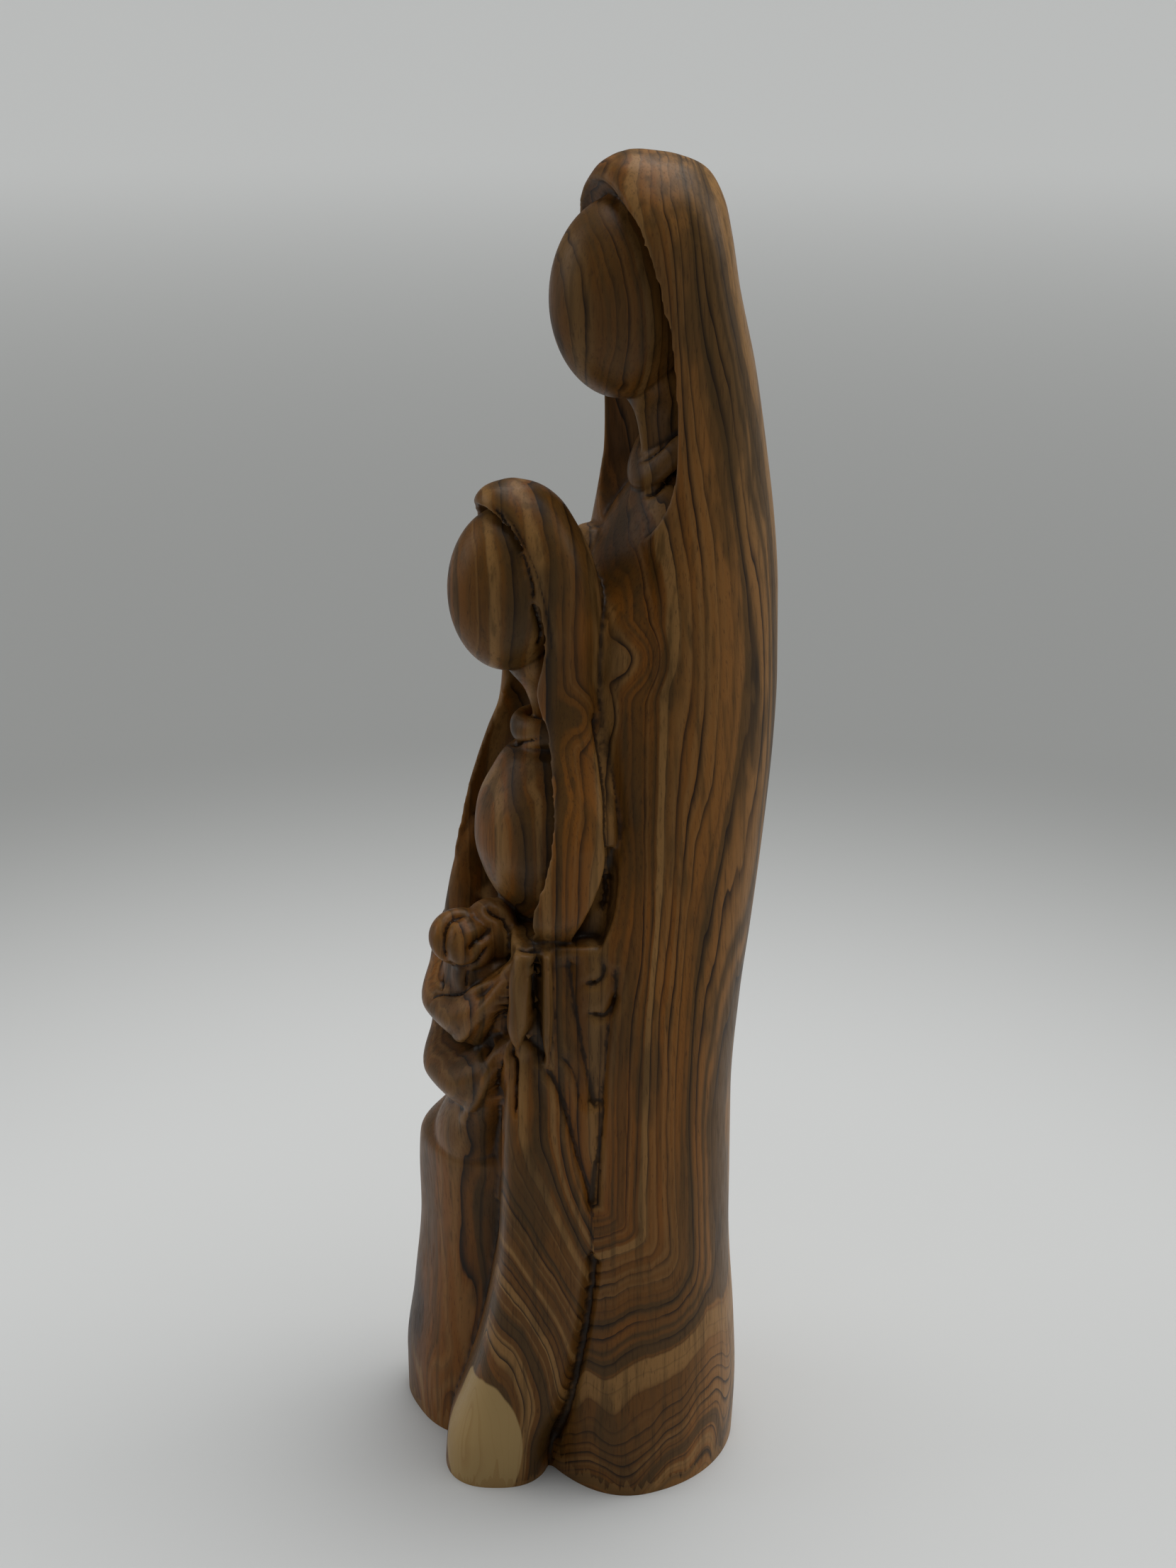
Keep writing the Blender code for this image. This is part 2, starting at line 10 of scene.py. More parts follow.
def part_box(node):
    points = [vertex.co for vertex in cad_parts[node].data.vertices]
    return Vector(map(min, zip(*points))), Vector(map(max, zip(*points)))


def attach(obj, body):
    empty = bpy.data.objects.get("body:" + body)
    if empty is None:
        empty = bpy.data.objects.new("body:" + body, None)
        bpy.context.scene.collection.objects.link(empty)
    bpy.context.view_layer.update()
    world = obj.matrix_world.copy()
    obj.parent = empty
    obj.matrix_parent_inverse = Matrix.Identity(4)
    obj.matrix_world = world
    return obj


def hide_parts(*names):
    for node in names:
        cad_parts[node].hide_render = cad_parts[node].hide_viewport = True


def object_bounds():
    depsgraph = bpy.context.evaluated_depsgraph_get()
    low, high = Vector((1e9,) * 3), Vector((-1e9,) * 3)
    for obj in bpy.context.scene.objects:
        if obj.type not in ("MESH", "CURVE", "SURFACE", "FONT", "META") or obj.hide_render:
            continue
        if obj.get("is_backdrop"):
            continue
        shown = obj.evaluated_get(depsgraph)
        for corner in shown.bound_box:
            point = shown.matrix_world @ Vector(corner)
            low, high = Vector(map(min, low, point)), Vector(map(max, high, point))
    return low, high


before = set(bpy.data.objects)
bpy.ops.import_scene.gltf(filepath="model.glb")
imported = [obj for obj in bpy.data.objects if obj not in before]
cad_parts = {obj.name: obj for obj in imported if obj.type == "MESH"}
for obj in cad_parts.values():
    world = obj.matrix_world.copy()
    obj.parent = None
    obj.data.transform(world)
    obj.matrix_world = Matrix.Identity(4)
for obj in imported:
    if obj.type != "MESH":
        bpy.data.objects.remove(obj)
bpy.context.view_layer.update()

# ---- Tall figure -------------------------------------------------------------------------
# A hooded mantle round the back of the log, opened in front to free an egg-shaped face,
# a short neck with a rolled collar, and the robe that runs down inside the mantle's edges.

# Points round a section and rings up a form. The forms begin at SUNK, under the ground, and are
# cut flat at it later. An egg's first and last ring stay POLE_GAP from its poles, in radians.
MILLIMETRE = 0.001
ROUND_STEPS = 144
RISE_STEPS = 200
SUNK = -8.0
POLE_GAP = 0.01

# height, half width, back, widest at, front, squareness of the front
MANTLE = [
    (SUNK, 37.2, 33.8, 1.0, -19.0, 2.6),
    (15.0, 37.8, 34.8, 1.5, -18.5, 2.6),
    (30.0, 37.4, 34.1, 2.0, -18.0, 2.6),
    (60.0, 36.2, 31.9, 3.5, -17.0, 2.6),
    (90.0, 35.2, 31.9, 4.5, -17.0, 2.8),
    (115.0, 33.8, 34.5, 6.0, -17.0, 3.2),
    (130.0, 31.8, 37.6, 7.5, -15.5, 3.8),
    (155.0, 29.4, 41.5, 11.0, -5.9, 4.0),
    (172.0, 27.8, 43.6, 12.5, -1.4, 4.0),
    (188.0, 26.2, 44.5, 14.0, 2.3, 4.0),
    (205.0, 24.0, 44.5, 16.0, 5.0, 4.0),
    (220.0, 21.6, 43.6, 18.0, 8.0, 4.0),
    (235.0, 20.0, 41.4, 20.0, 9.7, 4.0),
    (255.0, 19.4, 37.4, 21.0, 7.6, 4.0),
    (272.0, 18.7, 33.0, 19.0, 3.0, 3.6),
    (283.0, 17.8, 31.2, 17.0, 0.8, 3.4),
    (290.0, 15.6, 30.0, 15.0, 0.4, 2.5),
    (296.0, 10.8, 27.0, 13.0, 2.4, 2.0),
    (299.0, 5.6, 20.6, 11.5, 6.0, 2.0),
    (300.3, 1.0, 12.6, 11.0, 9.6, 2.0),
]

HOOD_SPACE = [
    (216.0, 3.0, 12.0, 8.0, -10.0, 3.0),
    (220.0, 11.0, 16.0, 7.0, -16.0, 3.0),
    (228.0, 17.0, 19.5, 9.0, -20.0, 3.0),
    (235.0, 17.5, 23.0, 11.0, -22.0, 3.0),
    (255.0, 17.8, 24.0, 11.0, -24.0, 3.0),
    (272.0, 17.1, 20.0, 7.5, -26.0, 3.0),
    (280.0, 16.2, 16.0, 5.0, -26.0, 2.8),
    (286.0, 14.2, 11.0, 3.0, -26.0, 2.4),
    (290.0, 10.5, 7.0, 2.0, -26.0, 2.2),
    (293.5, 6.0, 4.0, 1.0, -26.0, 2.0),
    (295.0, 1.5, 1.0, 0.0, -20.0, 2.0),
]

TALL_ROBE = [
    (118.0, 27.0, 20.0, 2.0, -9.0, 4.0),
    (140.0, 28.0, 22.0, 4.0, -6.0, 4.0),
    (160.0, 27.5, 24.0, 7.3, -4.3, 4.0),
    (180.0, 25.6, 26.0, 13.6, -4.8, 3.0),
    (200.0, 23.0, 28.0, 20.0, -4.4, 2.5),
    (210.0, 21.0, 28.0, 19.5, 1.0, 2.4),
    (218.0, 19.0, 28.0, 19.5, 6.0, 2.3),
    (224.0, 16.0, 28.0, 20.0, 9.4, 2.2),
    (229.0, 12.0, 27.0, 20.0, 12.0, 2.0),
    (232.0, 7.0, 25.0, 20.0, 15.0, 2.0),
]

TALL_NECK = [
    (226.0, 5.0, 27.0, 21.0, 14.4, 2.0),
    (236.0, 5.0, 27.0, 21.0, 13.0, 1.6),
    (245.0, 6.0, 27.0, 19.5, 11.2, 1.6),
    (253.0, 8.4, 27.0, 17.0, 7.0, 2.0),
    (258.0, 6.0, 24.0, 16.0, 9.0, 2.0),
]

# place of the middle, half sizes
TALL_FACE = ((0.0, 8.2, 270.0), (13.8, 16.2, 21.4))

# place of the middle, radius across, radius in depth, thickness, height, tilt
TALL_COLLAR = ((0.0, 20.8, 240.4), 8.2, 7.8, 2.5, 3.4, 44.0)

# Pocket behind the near sleeve, above the ledge: height, place, half sizes, turn, squareness.
POCKET = [
    (132.6, 23.6, -12.2, 3.4, 3.6, 65.0, 3.0),
    (134.5, 23.9, -11.6, 3.5, 4.8, 65.0, 3.0),
    (140.0, 24.4, -9.2, 3.3, 4.6, 65.0, 2.6),
    (148.0, 24.5, -6.7, 2.2, 3.4, 65.0, 2.2),
    (156.0, 24.2, -5.3, 1.0, 1.8, 65.0, 2.0),
]


def smooth_rows(table, count):
    """Columns of the table at even spacing along a curve through its rows.

    Between two rows each value follows the cubic with the rows' values and limited slopes:
    (2t^3-3t^2+1) start + (t^3-2t^2+t) leaving + (3t^2-2t^3) end + (t^3-t^2) arriving.
    """
    rows = np.array(table, float)
    gaps = np.linalg.norm(np.diff(rows[:, :-1], axis=0), axis=1)
    knots = np.concatenate([[0.0], np.cumsum(gaps)])
    slopes = np.diff(rows, axis=0) / gaps[:, None]
    tangents = np.zeros_like(rows)
    mean = (slopes[:-1] + slopes[1:]) / 2.0
    limit = 3.0 * np.minimum(np.abs(slopes[:-1]), np.abs(slopes[1:]))
    same_way = slopes[:-1] * slopes[1:] > 0.0
    tangents[1:-1] = np.where(same_way, np.sign(mean) * np.minimum(np.abs(mean), limit), 0.0)
    tangents[0] = slopes[0]
    tangents[-1] = slopes[-1]
    at = np.linspace(0.0, knots[-1], count)
    lower = np.clip(np.searchsorted(knots, at, side="right") - 1, 0, len(gaps) - 1)
    span = gaps[lower][:, None]
    t = (at[:, None] - knots[lower][:, None]) / span
    start, end = rows[lower], rows[lower + 1]
    leaving, arriving = tangents[lower] * span, tangents[lower + 1] * span
    return (
        (2.0 * t**3 - 3.0 * t**2 + 1.0) * start
        + (t**3 - 2.0 * t**2 + t) * leaving
        + (3.0 * t**2 - 2.0 * t**3) * end
        + (t**3 - t**2) * arriving
    ).T


def rounded(angle, squareness):
    """Superellipse of half size one: cos and sin of the angle, each raised to 2 / squareness."""
    across, up = np.cos(angle), np.sin(angle)
    power = 2.0 / squareness
    return np.sign(across) * np.abs(across) ** power, np.sign(up) * np.abs(up) ** power


def skin(rings, joined_ends=False):
    """Mesh over a grid of points, one row a ring: each square of the grid is one face.

    The ends close with a fan to the mean of their ring, or onto each other if they are joined.
    """
    count, around = rings.shape[:2]
    rows = count if joined_ends else count - 1
    ring, step = np.meshgrid(np.arange(rows), np.arange(around), indexing="ij")
    next_ring, next_step = (ring + 1) % count, (step + 1) % around
    corners = [(ring, step), (ring, next_step), (next_ring, next_step), (next_ring, step)]
    faces = np.stack([i * around + j for i, j in corners], -1).reshape(-1, 4).tolist()
    points = rings.reshape(-1, 3)
    if not joined_ends:
        points = np.concatenate([points, rings[[0, -1]].mean(axis=1)])
        step = np.arange(around)
        after, last = (step + 1) % around, (count - 1) * around
        middle = np.full(around, count * around)
        faces += np.stack([middle, after, step], -1).tolist()
        faces += np.stack([middle + 1, last + step, last + after], -1).tolist()
    mesh = bpy.data.meshes.new("form")
    mesh.from_pydata((points * MILLIMETRE).tolist(), [], faces)
    work = bmesh.new()
    work.from_mesh(mesh)
    bmesh.ops.recalc_face_normals(work, faces=work.faces)
    work.to_mesh(mesh)
    work.free()
    return mesh


def wrap(table):
    """Loft of D-shaped sections. At an angle round the section, x is half width times the
    superellipse's cosine and y is the widest place plus the depth there times its sine; it is
    round behind, and as square in front as the table says."""
    height, half_width, back, widest, front, squareness = smooth_rows(table, RISE_STEPS)[..., None]
    angle = np.linspace(0.0, 2.0 * np.pi, ROUND_STEPS, endpoint=False)
    x, behind = rounded(angle, np.where(np.sin(angle) > 0.0, 2.0, squareness))
    depth = np.where(behind > 0.0, back - widest, widest - front)
    return skin(np.stack([half_width * x, widest + depth * behind, height + 0.0 * x], -1))


def stack(table):
    """Loft of superellipses: place plus half sizes times the unit superellipse, turned about Z."""
    height, x, y, half_a, half_b, turn, squareness = smooth_rows(table, RISE_STEPS)[..., None]
    angle = np.linspace(0.0, 2.0 * np.pi, ROUND_STEPS, endpoint=False)
    a, b = rounded(angle, squareness)
    a, b = half_a * a, half_b * b
    turn = np.radians(turn)
    east = x + a * np.cos(turn) - b * np.sin(turn)
    north = y + a * np.sin(turn) + b * np.cos(turn)
    return skin(np.stack([east, north, height + 0.0 * a], -1))


def egg(place, half_sizes):
    """Ellipsoid: place plus half sizes times (sin v cos t, sin v sin t, -cos v)."""
    v = np.linspace(POLE_GAP, np.pi - POLE_GAP, RISE_STEPS // 2)[:, None]
    t = np.linspace(0.0, 2.0 * np.pi, ROUND_STEPS, endpoint=False)
    unit = np.stack([np.sin(v) * np.cos(t), np.sin(v) * np.sin(t), -np.cos(v) + 0.0 * t], -1)
    return skin(unit * half_sizes + place)


def rolled_collar(place, across, in_depth, thick, tall, tilt):
    """Ring of cloth: an oval circle, each point of it moved by a small oval round the path."""
    turn = np.linspace(0.0, 2.0 * np.pi, ROUND_STEPS, endpoint=False)[:, None]
    angle = np.linspace(0.0, 2.0 * np.pi, ROUND_STEPS // 3, endpoint=False)
    reach = thick * np.cos(angle)
    x = (across + reach) * np.cos(turn)
    y = (in_depth + reach) * np.sin(turn)
    z = tall * np.sin(angle) + y * np.tan(np.radians(tilt))
    return skin(np.stack([x, y, z], -1) + place, joined_ends=True)


def with_modifiers(item):
    """Mesh of the object as its modifiers leave it."""
    bpy.context.view_layer.update()
    shown = item.evaluated_get(bpy.context.evaluated_depsgraph_get())
    return bpy.data.meshes.new_from_object(shown)


def cut(form, *hollows):
    """The form's mesh with the hollows cut out of it."""
    body = bpy.data.objects.new("body", form)
    bpy.context.scene.collection.objects.link(body)
    tools = []
    for hollow in hollows:
        tool = bpy.data.objects.new("space", hollow)
        bpy.context.scene.collection.objects.link(tool)
        tools.append(tool)
        step = body.modifiers.new("hollow", "BOOLEAN")
        step.operation = "DIFFERENCE"
        step.object = tool
    mesh = with_modifiers(body)
    for item in [body, *tools]:
        bpy.data.objects.remove(item)
    return mesh


forms = [
    cut(wrap(MANTLE), wrap(HOOD_SPACE), stack(POCKET)),
    cut(wrap(TALL_ROBE), stack(POCKET)),
    wrap(TALL_NECK),
    egg(*TALL_FACE),
    rolled_collar(*TALL_COLLAR),
]

# ---- Smaller figure ----------------------------------------------------------------------
# Seated in front of the tall one: a hooded cloak whose sleeves come forward round the child,
# hollowed in front to free a smaller egg-shaped face, a collar and a chest like a bud.

CLOAK = [
    (122.0, 19.5, 4.0, -8.0, -17.0, 3.0),
    (131.0, 20.0, 5.0, -9.0, -20.0, 3.0),
    (136.0, 23.0, 5.0, -10.0, -25.6, 3.4),
    (141.0, 25.6, 5.0, -11.0, -27.0, 3.8),
    (148.0, 26.0, 5.0, -11.0, -25.4, 4.0),
    (155.0, 26.0, 5.0, -11.0, -22.8, 4.4),
    (163.0, 24.8, 5.0, -11.0, -20.6, 4.0),
    (173.0, 20.6, 5.0, -11.0, -18.8, 3.4),
    (181.0, 17.2, 5.0, -11.0, -17.4, 2.6),
    (188.0, 15.2, 4.0, -11.0, -17.2, 2.6),
    (195.0, 14.8, 3.0, -11.0, -18.4, 2.6),
    (203.0, 15.2, 2.2, -11.5, -20.6, 2.6),
    (211.0, 15.0, 0.8, -12.0, -22.6, 2.6),
    (218.0, 14.0, -1.4, -13.0, -24.6, 2.5),
    (224.0, 11.8, -4.4, -14.0, -25.6, 2.4),
    (228.4, 9.0, -7.2, -15.0, -26.0, 2.2),
    (231.4, 6.0, -10.8, -16.0, -24.6, 2.0),
    (233.4, 1.0, -16.8, -18.0, -19.4, 2.0),
]

CLOAK_SPACE = [
    (127.0, 3.0, -14.0, -18.0, -34.0, 3.0),
    (131.0, 13.0, -8.0, -20.0, -48.0, 3.0),
    (138.0, 20.4, -5.0, -22.0, -50.0, 3.0),
    (146.0, 22.6, -5.0, -21.0, -50.0, 3.0),
    (154.0, 23.2, -5.0, -19.0, -50.0, 3.0),
    (163.0, 21.6, -5.0, -17.0, -50.0, 3.0),
    (173.0, 17.0, -5.0, -15.0, -50.0, 3.0),
    (181.0, 12.2, -5.0, -14.0, -50.0, 3.0),
    (188.0, 8.2, -5.0, -14.0, -50.0, 3.0),
    (195.0, 11.2, -6.0, -15.0, -50.0, 3.0),
    (203.0, 13.3, -6.0, -16.0, -50.0, 3.0),
    (211.0, 12.8, -7.0, -17.0, -50.0, 3.0),
    (218.0, 11.6, -9.0, -18.0, -50.0, 2.8),
    (223.0, 9.4, -13.0, -20.0, -50.0, 2.6),
    (227.0, 5.4, -18.0, -22.0, -46.0, 2.4),
    (228.4, 1.2, -22.0, -23.0, -34.0, 2.0),
]

SMALL_NECK = [
    (168.0, 3.8, -4.0, -8.6, -12.6, 2.0),
    (179.0, 3.8, -4.0, -8.8, -13.0, 1.8),
    (186.0, 4.4, -4.0, -10.0, -15.0, 1.8),
    (193.0, 6.6, -4.0, -12.0, -19.5, 2.0),
    (197.0, 5.0, -6.0, -12.0, -18.0, 2.0),
]

SMALL_CHEST = [
    (127.0, 2.0, -12.0, -13.0, -15.0, 2.0),
    (131.0, 6.0, -4.0, -12.0, -17.0, 2.0),
    (137.0, 10.5, 0.0, -11.0, -20.5, 2.0),
    (144.0, 14.6, 0.0, -12.0, -24.2, 2.0),
    (152.0, 17.2, 0.0, -12.0, -26.1, 2.0),
    (160.0, 17.0, 0.0, -11.0, -25.3, 2.0),
    (167.0, 14.0, 0.0, -10.0, -22.2, 2.0),
    (172.0, 10.4, 0.0, -9.5, -19.0, 2.0),
    (175.0, 1.5, -7.0, -9.0, -10.0, 2.0),
]

SMALL_FACE = ((0.0, -19.4, 209.6), (12.0, 12.9, 18.0))
SMALL_COLLAR = ((0.0, -8.6, 177.4), 7.0, 7.2, 2.4, 3.3, 0.0)

forms += [
    cut(wrap(CLOAK), wrap(CLOAK_SPACE), stack(POCKET)),
    wrap(SMALL_NECK),
    wrap(SMALL_CHEST),
    egg(*SMALL_FACE),
    rolled_collar(*SMALL_COLLAR),
]

# ---- Child and its wrap ------------------------------------------------------------------
# A swaddled child lies in the bend of the far arm: a small round head in a hood, and two
# thick folds of the wrap that hang one under the other across the lap.

# Body of the group behind the child, between the arms.
CORE = [
    (66.0, 26.0, 10.0, -8.0, -25.5, 2.4),
    (100.0, 24.0, 8.0, -8.0, -25.5, 2.4),
    (118.0, 22.5, 4.0, -8.0, -22.5, 2.4),
    (128.0, 20.0, 2.0, -8.0, -18.5, 2.4),
    (133.0, 14.0, 0.0, -8.0, -14.0, 2.4),
]

# height, place (x, y), half sizes (a, b), turn of a from +X in degrees, squareness
FAR_ARM = [
    (84.0, -21.0, -17.5, 9.0, 8.0, -40.0, 2.4),
    (100.0, -22.0, -17.5, 9.5, 8.0, -42.0, 2.4),
    (112.0, -22.5, -17.5, 9.8, 7.8, -44.0, 2.4),
    (124.0, -23.4, -17.6, 10.0, 7.0, -50.0, 2.4),
    (134.0, -23.6, -16.8, 9.6, 5.2, -62.0, 2.2),
    (142.0, -23.6, -15.4, 8.4, 3.4, -74.0, 2.0),
    (150.0, -23.6, -13.0, 6.0, 2.4, -84.0, 2.0),
]

# Web between the smaller hood and the far shoulder.
SHOULDER_WEB = [
    (194.0, -12.0, 6.6, 8.0, 6.0, 0.0, 2.4),
    (210.0, -12.0, 6.0, 8.0, 6.0, 0.0, 2.4),
    (214.6, -12.6, 6.4, 7.0, 5.0, 0.0, 2.2),
    (218.2, -13.0, 7.4, 4.0, 3.0, 0.0, 2.0),
]

CHILD_BODY = [
    (112.0, -2.0, -22.0, 17.0, 13.0, 0.0, 2.0),
    (120.0, -2.0, -23.0, 14.0, 11.0, 0.0, 2.0),
    (126.0, -2.0, -25.0, 10.0, 8.0, 0.0, 2.0),
    (129.0, -2.0, -26.0, 4.0, 3.0, 0.0, 2.0),
]

CHILD_NECK = [
    (114.0, 2.0, -29.5, 5.0, 4.0, 0.0, 3.0),
    (122.0, 2.0, -30.5, 4.2, 3.6, 0.0, 3.0),
    (127.0, 2.0, -30.0, 4.0, 3.4, 0.0, 3.0),
]

CHILD_HEAD = ((0.2, -31.6, 131.0), (7.0, 7.2, 6.4))
CHILD_FACE = ((3.4, -30.6, 130.4), (6.0, 6.2, 5.8))
CHILD_HOOD = ((1.2, -24.4, 131.6), (7.4, 6.4, 7.4))

# A hanging fold of the wrap: place of its middle line, half depth, half height.
WRAP_FOLD = [
    (-27.0, -15.0, 16.4, 5.0, 6.0),
    (-24.0, -20.0, 10.4, 7.0, 6.6),
    (-16.0, -24.4, 4.0, 8.0, 7.0),
    (-6.0, -29.0, -0.2, 8.8, 7.3),
    (2.0, -29.2, 0.0, 8.6, 7.3),
    (9.0, -26.6, 4.4, 8.0, 6.4),
    (14.5, -23.0, 11.0, 6.6, 5.4),
    (18.0, -18.6, 18.9, 5.0, 4.6),
    (19.0, -14.0, 25.4, 3.0, 3.0),
]
WRAP_HEIGHTS = (112.8, 96.6)
WRAP_HEART = (0.0, -8.0, 0.0)
FOLD_TOP = 1.9
FOLD_KEEL = 1.5
FOLD_END_POWER = 12
FOLD_END_LEFT = 0.02


def hanging_fold(height):
    """U-shaped roll of cloth: each point of the path moved out and up by a superellipse that is
    round on top and keeled below. It is shrunk by the root of 1 - run^FOLD_END_POWER, where run
    goes from -1 to 1, so that its ends close."""
    x, y, z, depth, rise = smooth_rows(WRAP_FOLD, RISE_STEPS)
    path = np.stack([x, y, z + height], -1)
    along = np.gradient(path, axis=0)
    along /= np.linalg.norm(along, axis=1, keepdims=True)
    outwards = path - WRAP_HEART
    outwards[:, 2] = 0.0
    outwards -= (outwards * along).sum(axis=1, keepdims=True) * along
    outwards /= np.linalg.norm(outwards, axis=1, keepdims=True)
    upwards = np.cross(along, outwards)
    upwards *= np.sign(upwards[:, 2:])
    run = np.linspace(-1.0, 1.0, RISE_STEPS)
    closing = np.sqrt(1.0 - np.abs(run) ** FOLD_END_POWER)[:, None] + FOLD_END_LEFT
    angle = np.linspace(0.0, 2.0 * np.pi, ROUND_STEPS // 2, endpoint=False)
    out, up = rounded(angle, np.where(np.sin(angle) > 0.0, FOLD_TOP, FOLD_KEEL))
    section = (depth[:, None] * closing * out)[..., None] * outwards[:, None]
    section = section + (rise[:, None] * closing * up)[..., None] * upwards[:, None]
    return skin(path[:, None] + section)


forms.append(wrap(CORE))
forms += [stack(rows) for rows in (FAR_ARM, SHOULDER_WEB, CHILD_BODY, CHILD_NECK)]
forms += [egg(*head) for head in (CHILD_HEAD, CHILD_FACE, CHILD_HOOD)]
forms += [hanging_fold(height) for height in WRAP_HEIGHTS]

# ---- Lap, near fold and foot -------------------------------------------------------------
# Below the wrap the robe falls plain in front. On the near side a sharp fold runs out into the
# foot where the log's rim was left, and a panel beside it hangs from the ledge to a point.

LAP = [
    (SUNK, -18.8, -15.2, 21.0, 22.0, 0.0, 2.6),
    (12.0, -18.8, -15.2, 21.0, 22.2, 0.0, 2.6),
    (30.0, -18.0, -13.8, 20.4, 21.6, 0.0, 2.6),
    (50.0, -16.4, -12.5, 20.2, 21.6, 0.0, 2.5),
    (66.0, -14.6, -12.5, 21.0, 22.4, 0.0, 2.4),
    (73.5, -12.8, -12.5, 21.0, 22.9, 0.0, 2.3),
    (79.5, -11.4, -12.3, 18.0, 20.2, 0.0, 2.2),
    (86.0, -9.4, -12.0, 12.0, 15.4, 0.0, 2.2),
]

# These forms were laid out from the front right. Columns: height, left and right edge across
# that view, how near the face is, half depth, squareness.
ACROSS = 65.0

NEAR_FOLD = [
    (SUNK, -34.4, -9.0, 32.6, 15.0, 2.4),
    (8.0, -33.2, -8.6, 32.6, 15.0, 2.6),
    (20.0, -29.2, -4.0, 32.2, 15.0, 3.0),
    (32.0, -25.6, -1.4, 32.4, 15.0, 3.4),
    (46.0, -22.7, 0.8, 33.0, 16.0, 3.8),
    (60.0, -20.6, 1.8, 33.2, 17.0, 4.2),
    (76.0, -19.8, -1.0, 32.4, 17.0, 4.4),
    (92.0, -19.4, -5.4, 31.4, 16.0, 4.4),
    (104.0, -19.0, -9.0, 29.8, 15.0, 4.0),
    (112.0, -18.6, -12.0, 27.8, 13.0, 3.0),
]

NEAR_PANEL = [
    (60.0, -4.0, 4.4, 32.4, 12.0, 2.8),
    (74.0, -8.0, 5.4, 32.2, 12.0, 3.0),
    (92.0, -12.0, 5.6, 31.6, 13.0, 3.4),
    (110.0, -15.0, 6.2, 31.0, 13.0, 3.6),
    (124.0, -16.6, 6.8, 30.2, 13.0, 4.0),
    (133.2, -17.0, 5.2, 29.2, 13.0, 5.0),
    (134.4, -16.6, 4.4, 28.6, 12.6, 5.0),
]

KNEE = [
    (66.0, -34.0, -12.0, 8.0, 12.0, 2.0),
    (76.0, -36.0, -13.0, 14.6, 14.0, 2.0),
    (82.0, -35.0, -15.0, 16.6, 14.0, 2.0),
    (88.0, -32.0, -16.0, 19.0, 14.0, 2.0),
    (94.0, -28.0, -16.6, 22.0, 13.0, 2.0),
    (100.0, -24.0, -17.0, 24.8, 12.0, 2.0),
    (105.0, -21.6, -17.2, 26.4, 10.0, 2.0),
]

LEDGE_LOBE = [
    (110.5, -16.2, -15.4, 30.2, 3.0, 2.0),
    (114.0, -17.6, -13.6, 31.8, 3.8, 2.0),
    (120.0, -17.8, -11.8, 32.8, 4.4, 2.2),
    (127.0, -17.4, -11.2, 33.0, 4.4, 2.4),
    (134.0, -16.2, -11.0, 31.8, 4.0, 2.6),
]

LEDGE_RIDGE = [
    (104.0, -10.4, -9.6, 30.4, 2.4, 2.0),
    (111.0, -10.5, -8.0, 32.2, 3.2, 1.6),
    (120.0, -10.4, -7.6, 33.0, 3.8, 1.6),
    (128.0, -10.3, -7.8, 33.0, 3.8, 1.6),
    (134.0, -10.0, -8.0, 32.0, 3.2, 1.8),
]


def in_view(table):
    """Rows for a stack: x is across cos A + nearness sin A, y is across sin A - nearness cos A."""
    turn = np.radians(ACROSS)
    rows = []
    for height, left, right, near, depth, squareness in table:
        across, middle = (left + right) / 2.0, near - depth
        x = across * np.cos(turn) + middle * np.sin(turn)
        y = across * np.sin(turn) - middle * np.cos(turn)
        rows.append((height, x, y, (right - left) / 2.0, depth, ACROSS, squareness))
    return rows


forms.append(stack(LAP))
forms += [stack(in_view(rows)) for rows in (NEAR_FOLD, NEAR_PANEL, KNEE, LEDGE_LOBE, LEDGE_RIDGE)]

# ---- One carved skin ---------------------------------------------------------------------
# All forms overlap. They become one closed skin, eased as if sanded, then the knife lines and
# creases are cut along their paths, and the foot is cut flat.

SKIN_GRAIN = 0.56 * MILLIMETRE
SKIN_EASING = 3
SANDING_STRENGTH = 0.5
SKIN_TRIANGLES = 188000

merged = bmesh.new()
for form in forms:
    merged.from_mesh(form)
mesh = bpy.data.meshes.new("rough")
merged.to_mesh(mesh)
merged.free()
rough = bpy.data.objects.new("rough", mesh)
bpy.context.scene.collection.objects.link(rough)
one_skin = rough.modifiers.new("one_skin", "REMESH")
one_skin.mode = "VOXEL"
one_skin.voxel_size = SKIN_GRAIN
sanding = rough.modifiers.new("sanding", "SMOOTH")
sanding.factor = SANDING_STRENGTH
sanding.iterations = SKIN_EASING
fine_skin = with_modifiers(rough)
bpy.data.objects.remove(rough)


def points_of(mesh):
    """Places of the mesh's points, in millimetres, as rows."""
    points = np.empty(len(mesh.vertices) * 3, np.float32)
    mesh.vertices.foreach_get("co", points)
    return points.reshape(-1, 3).astype(float) / MILLIMETRE


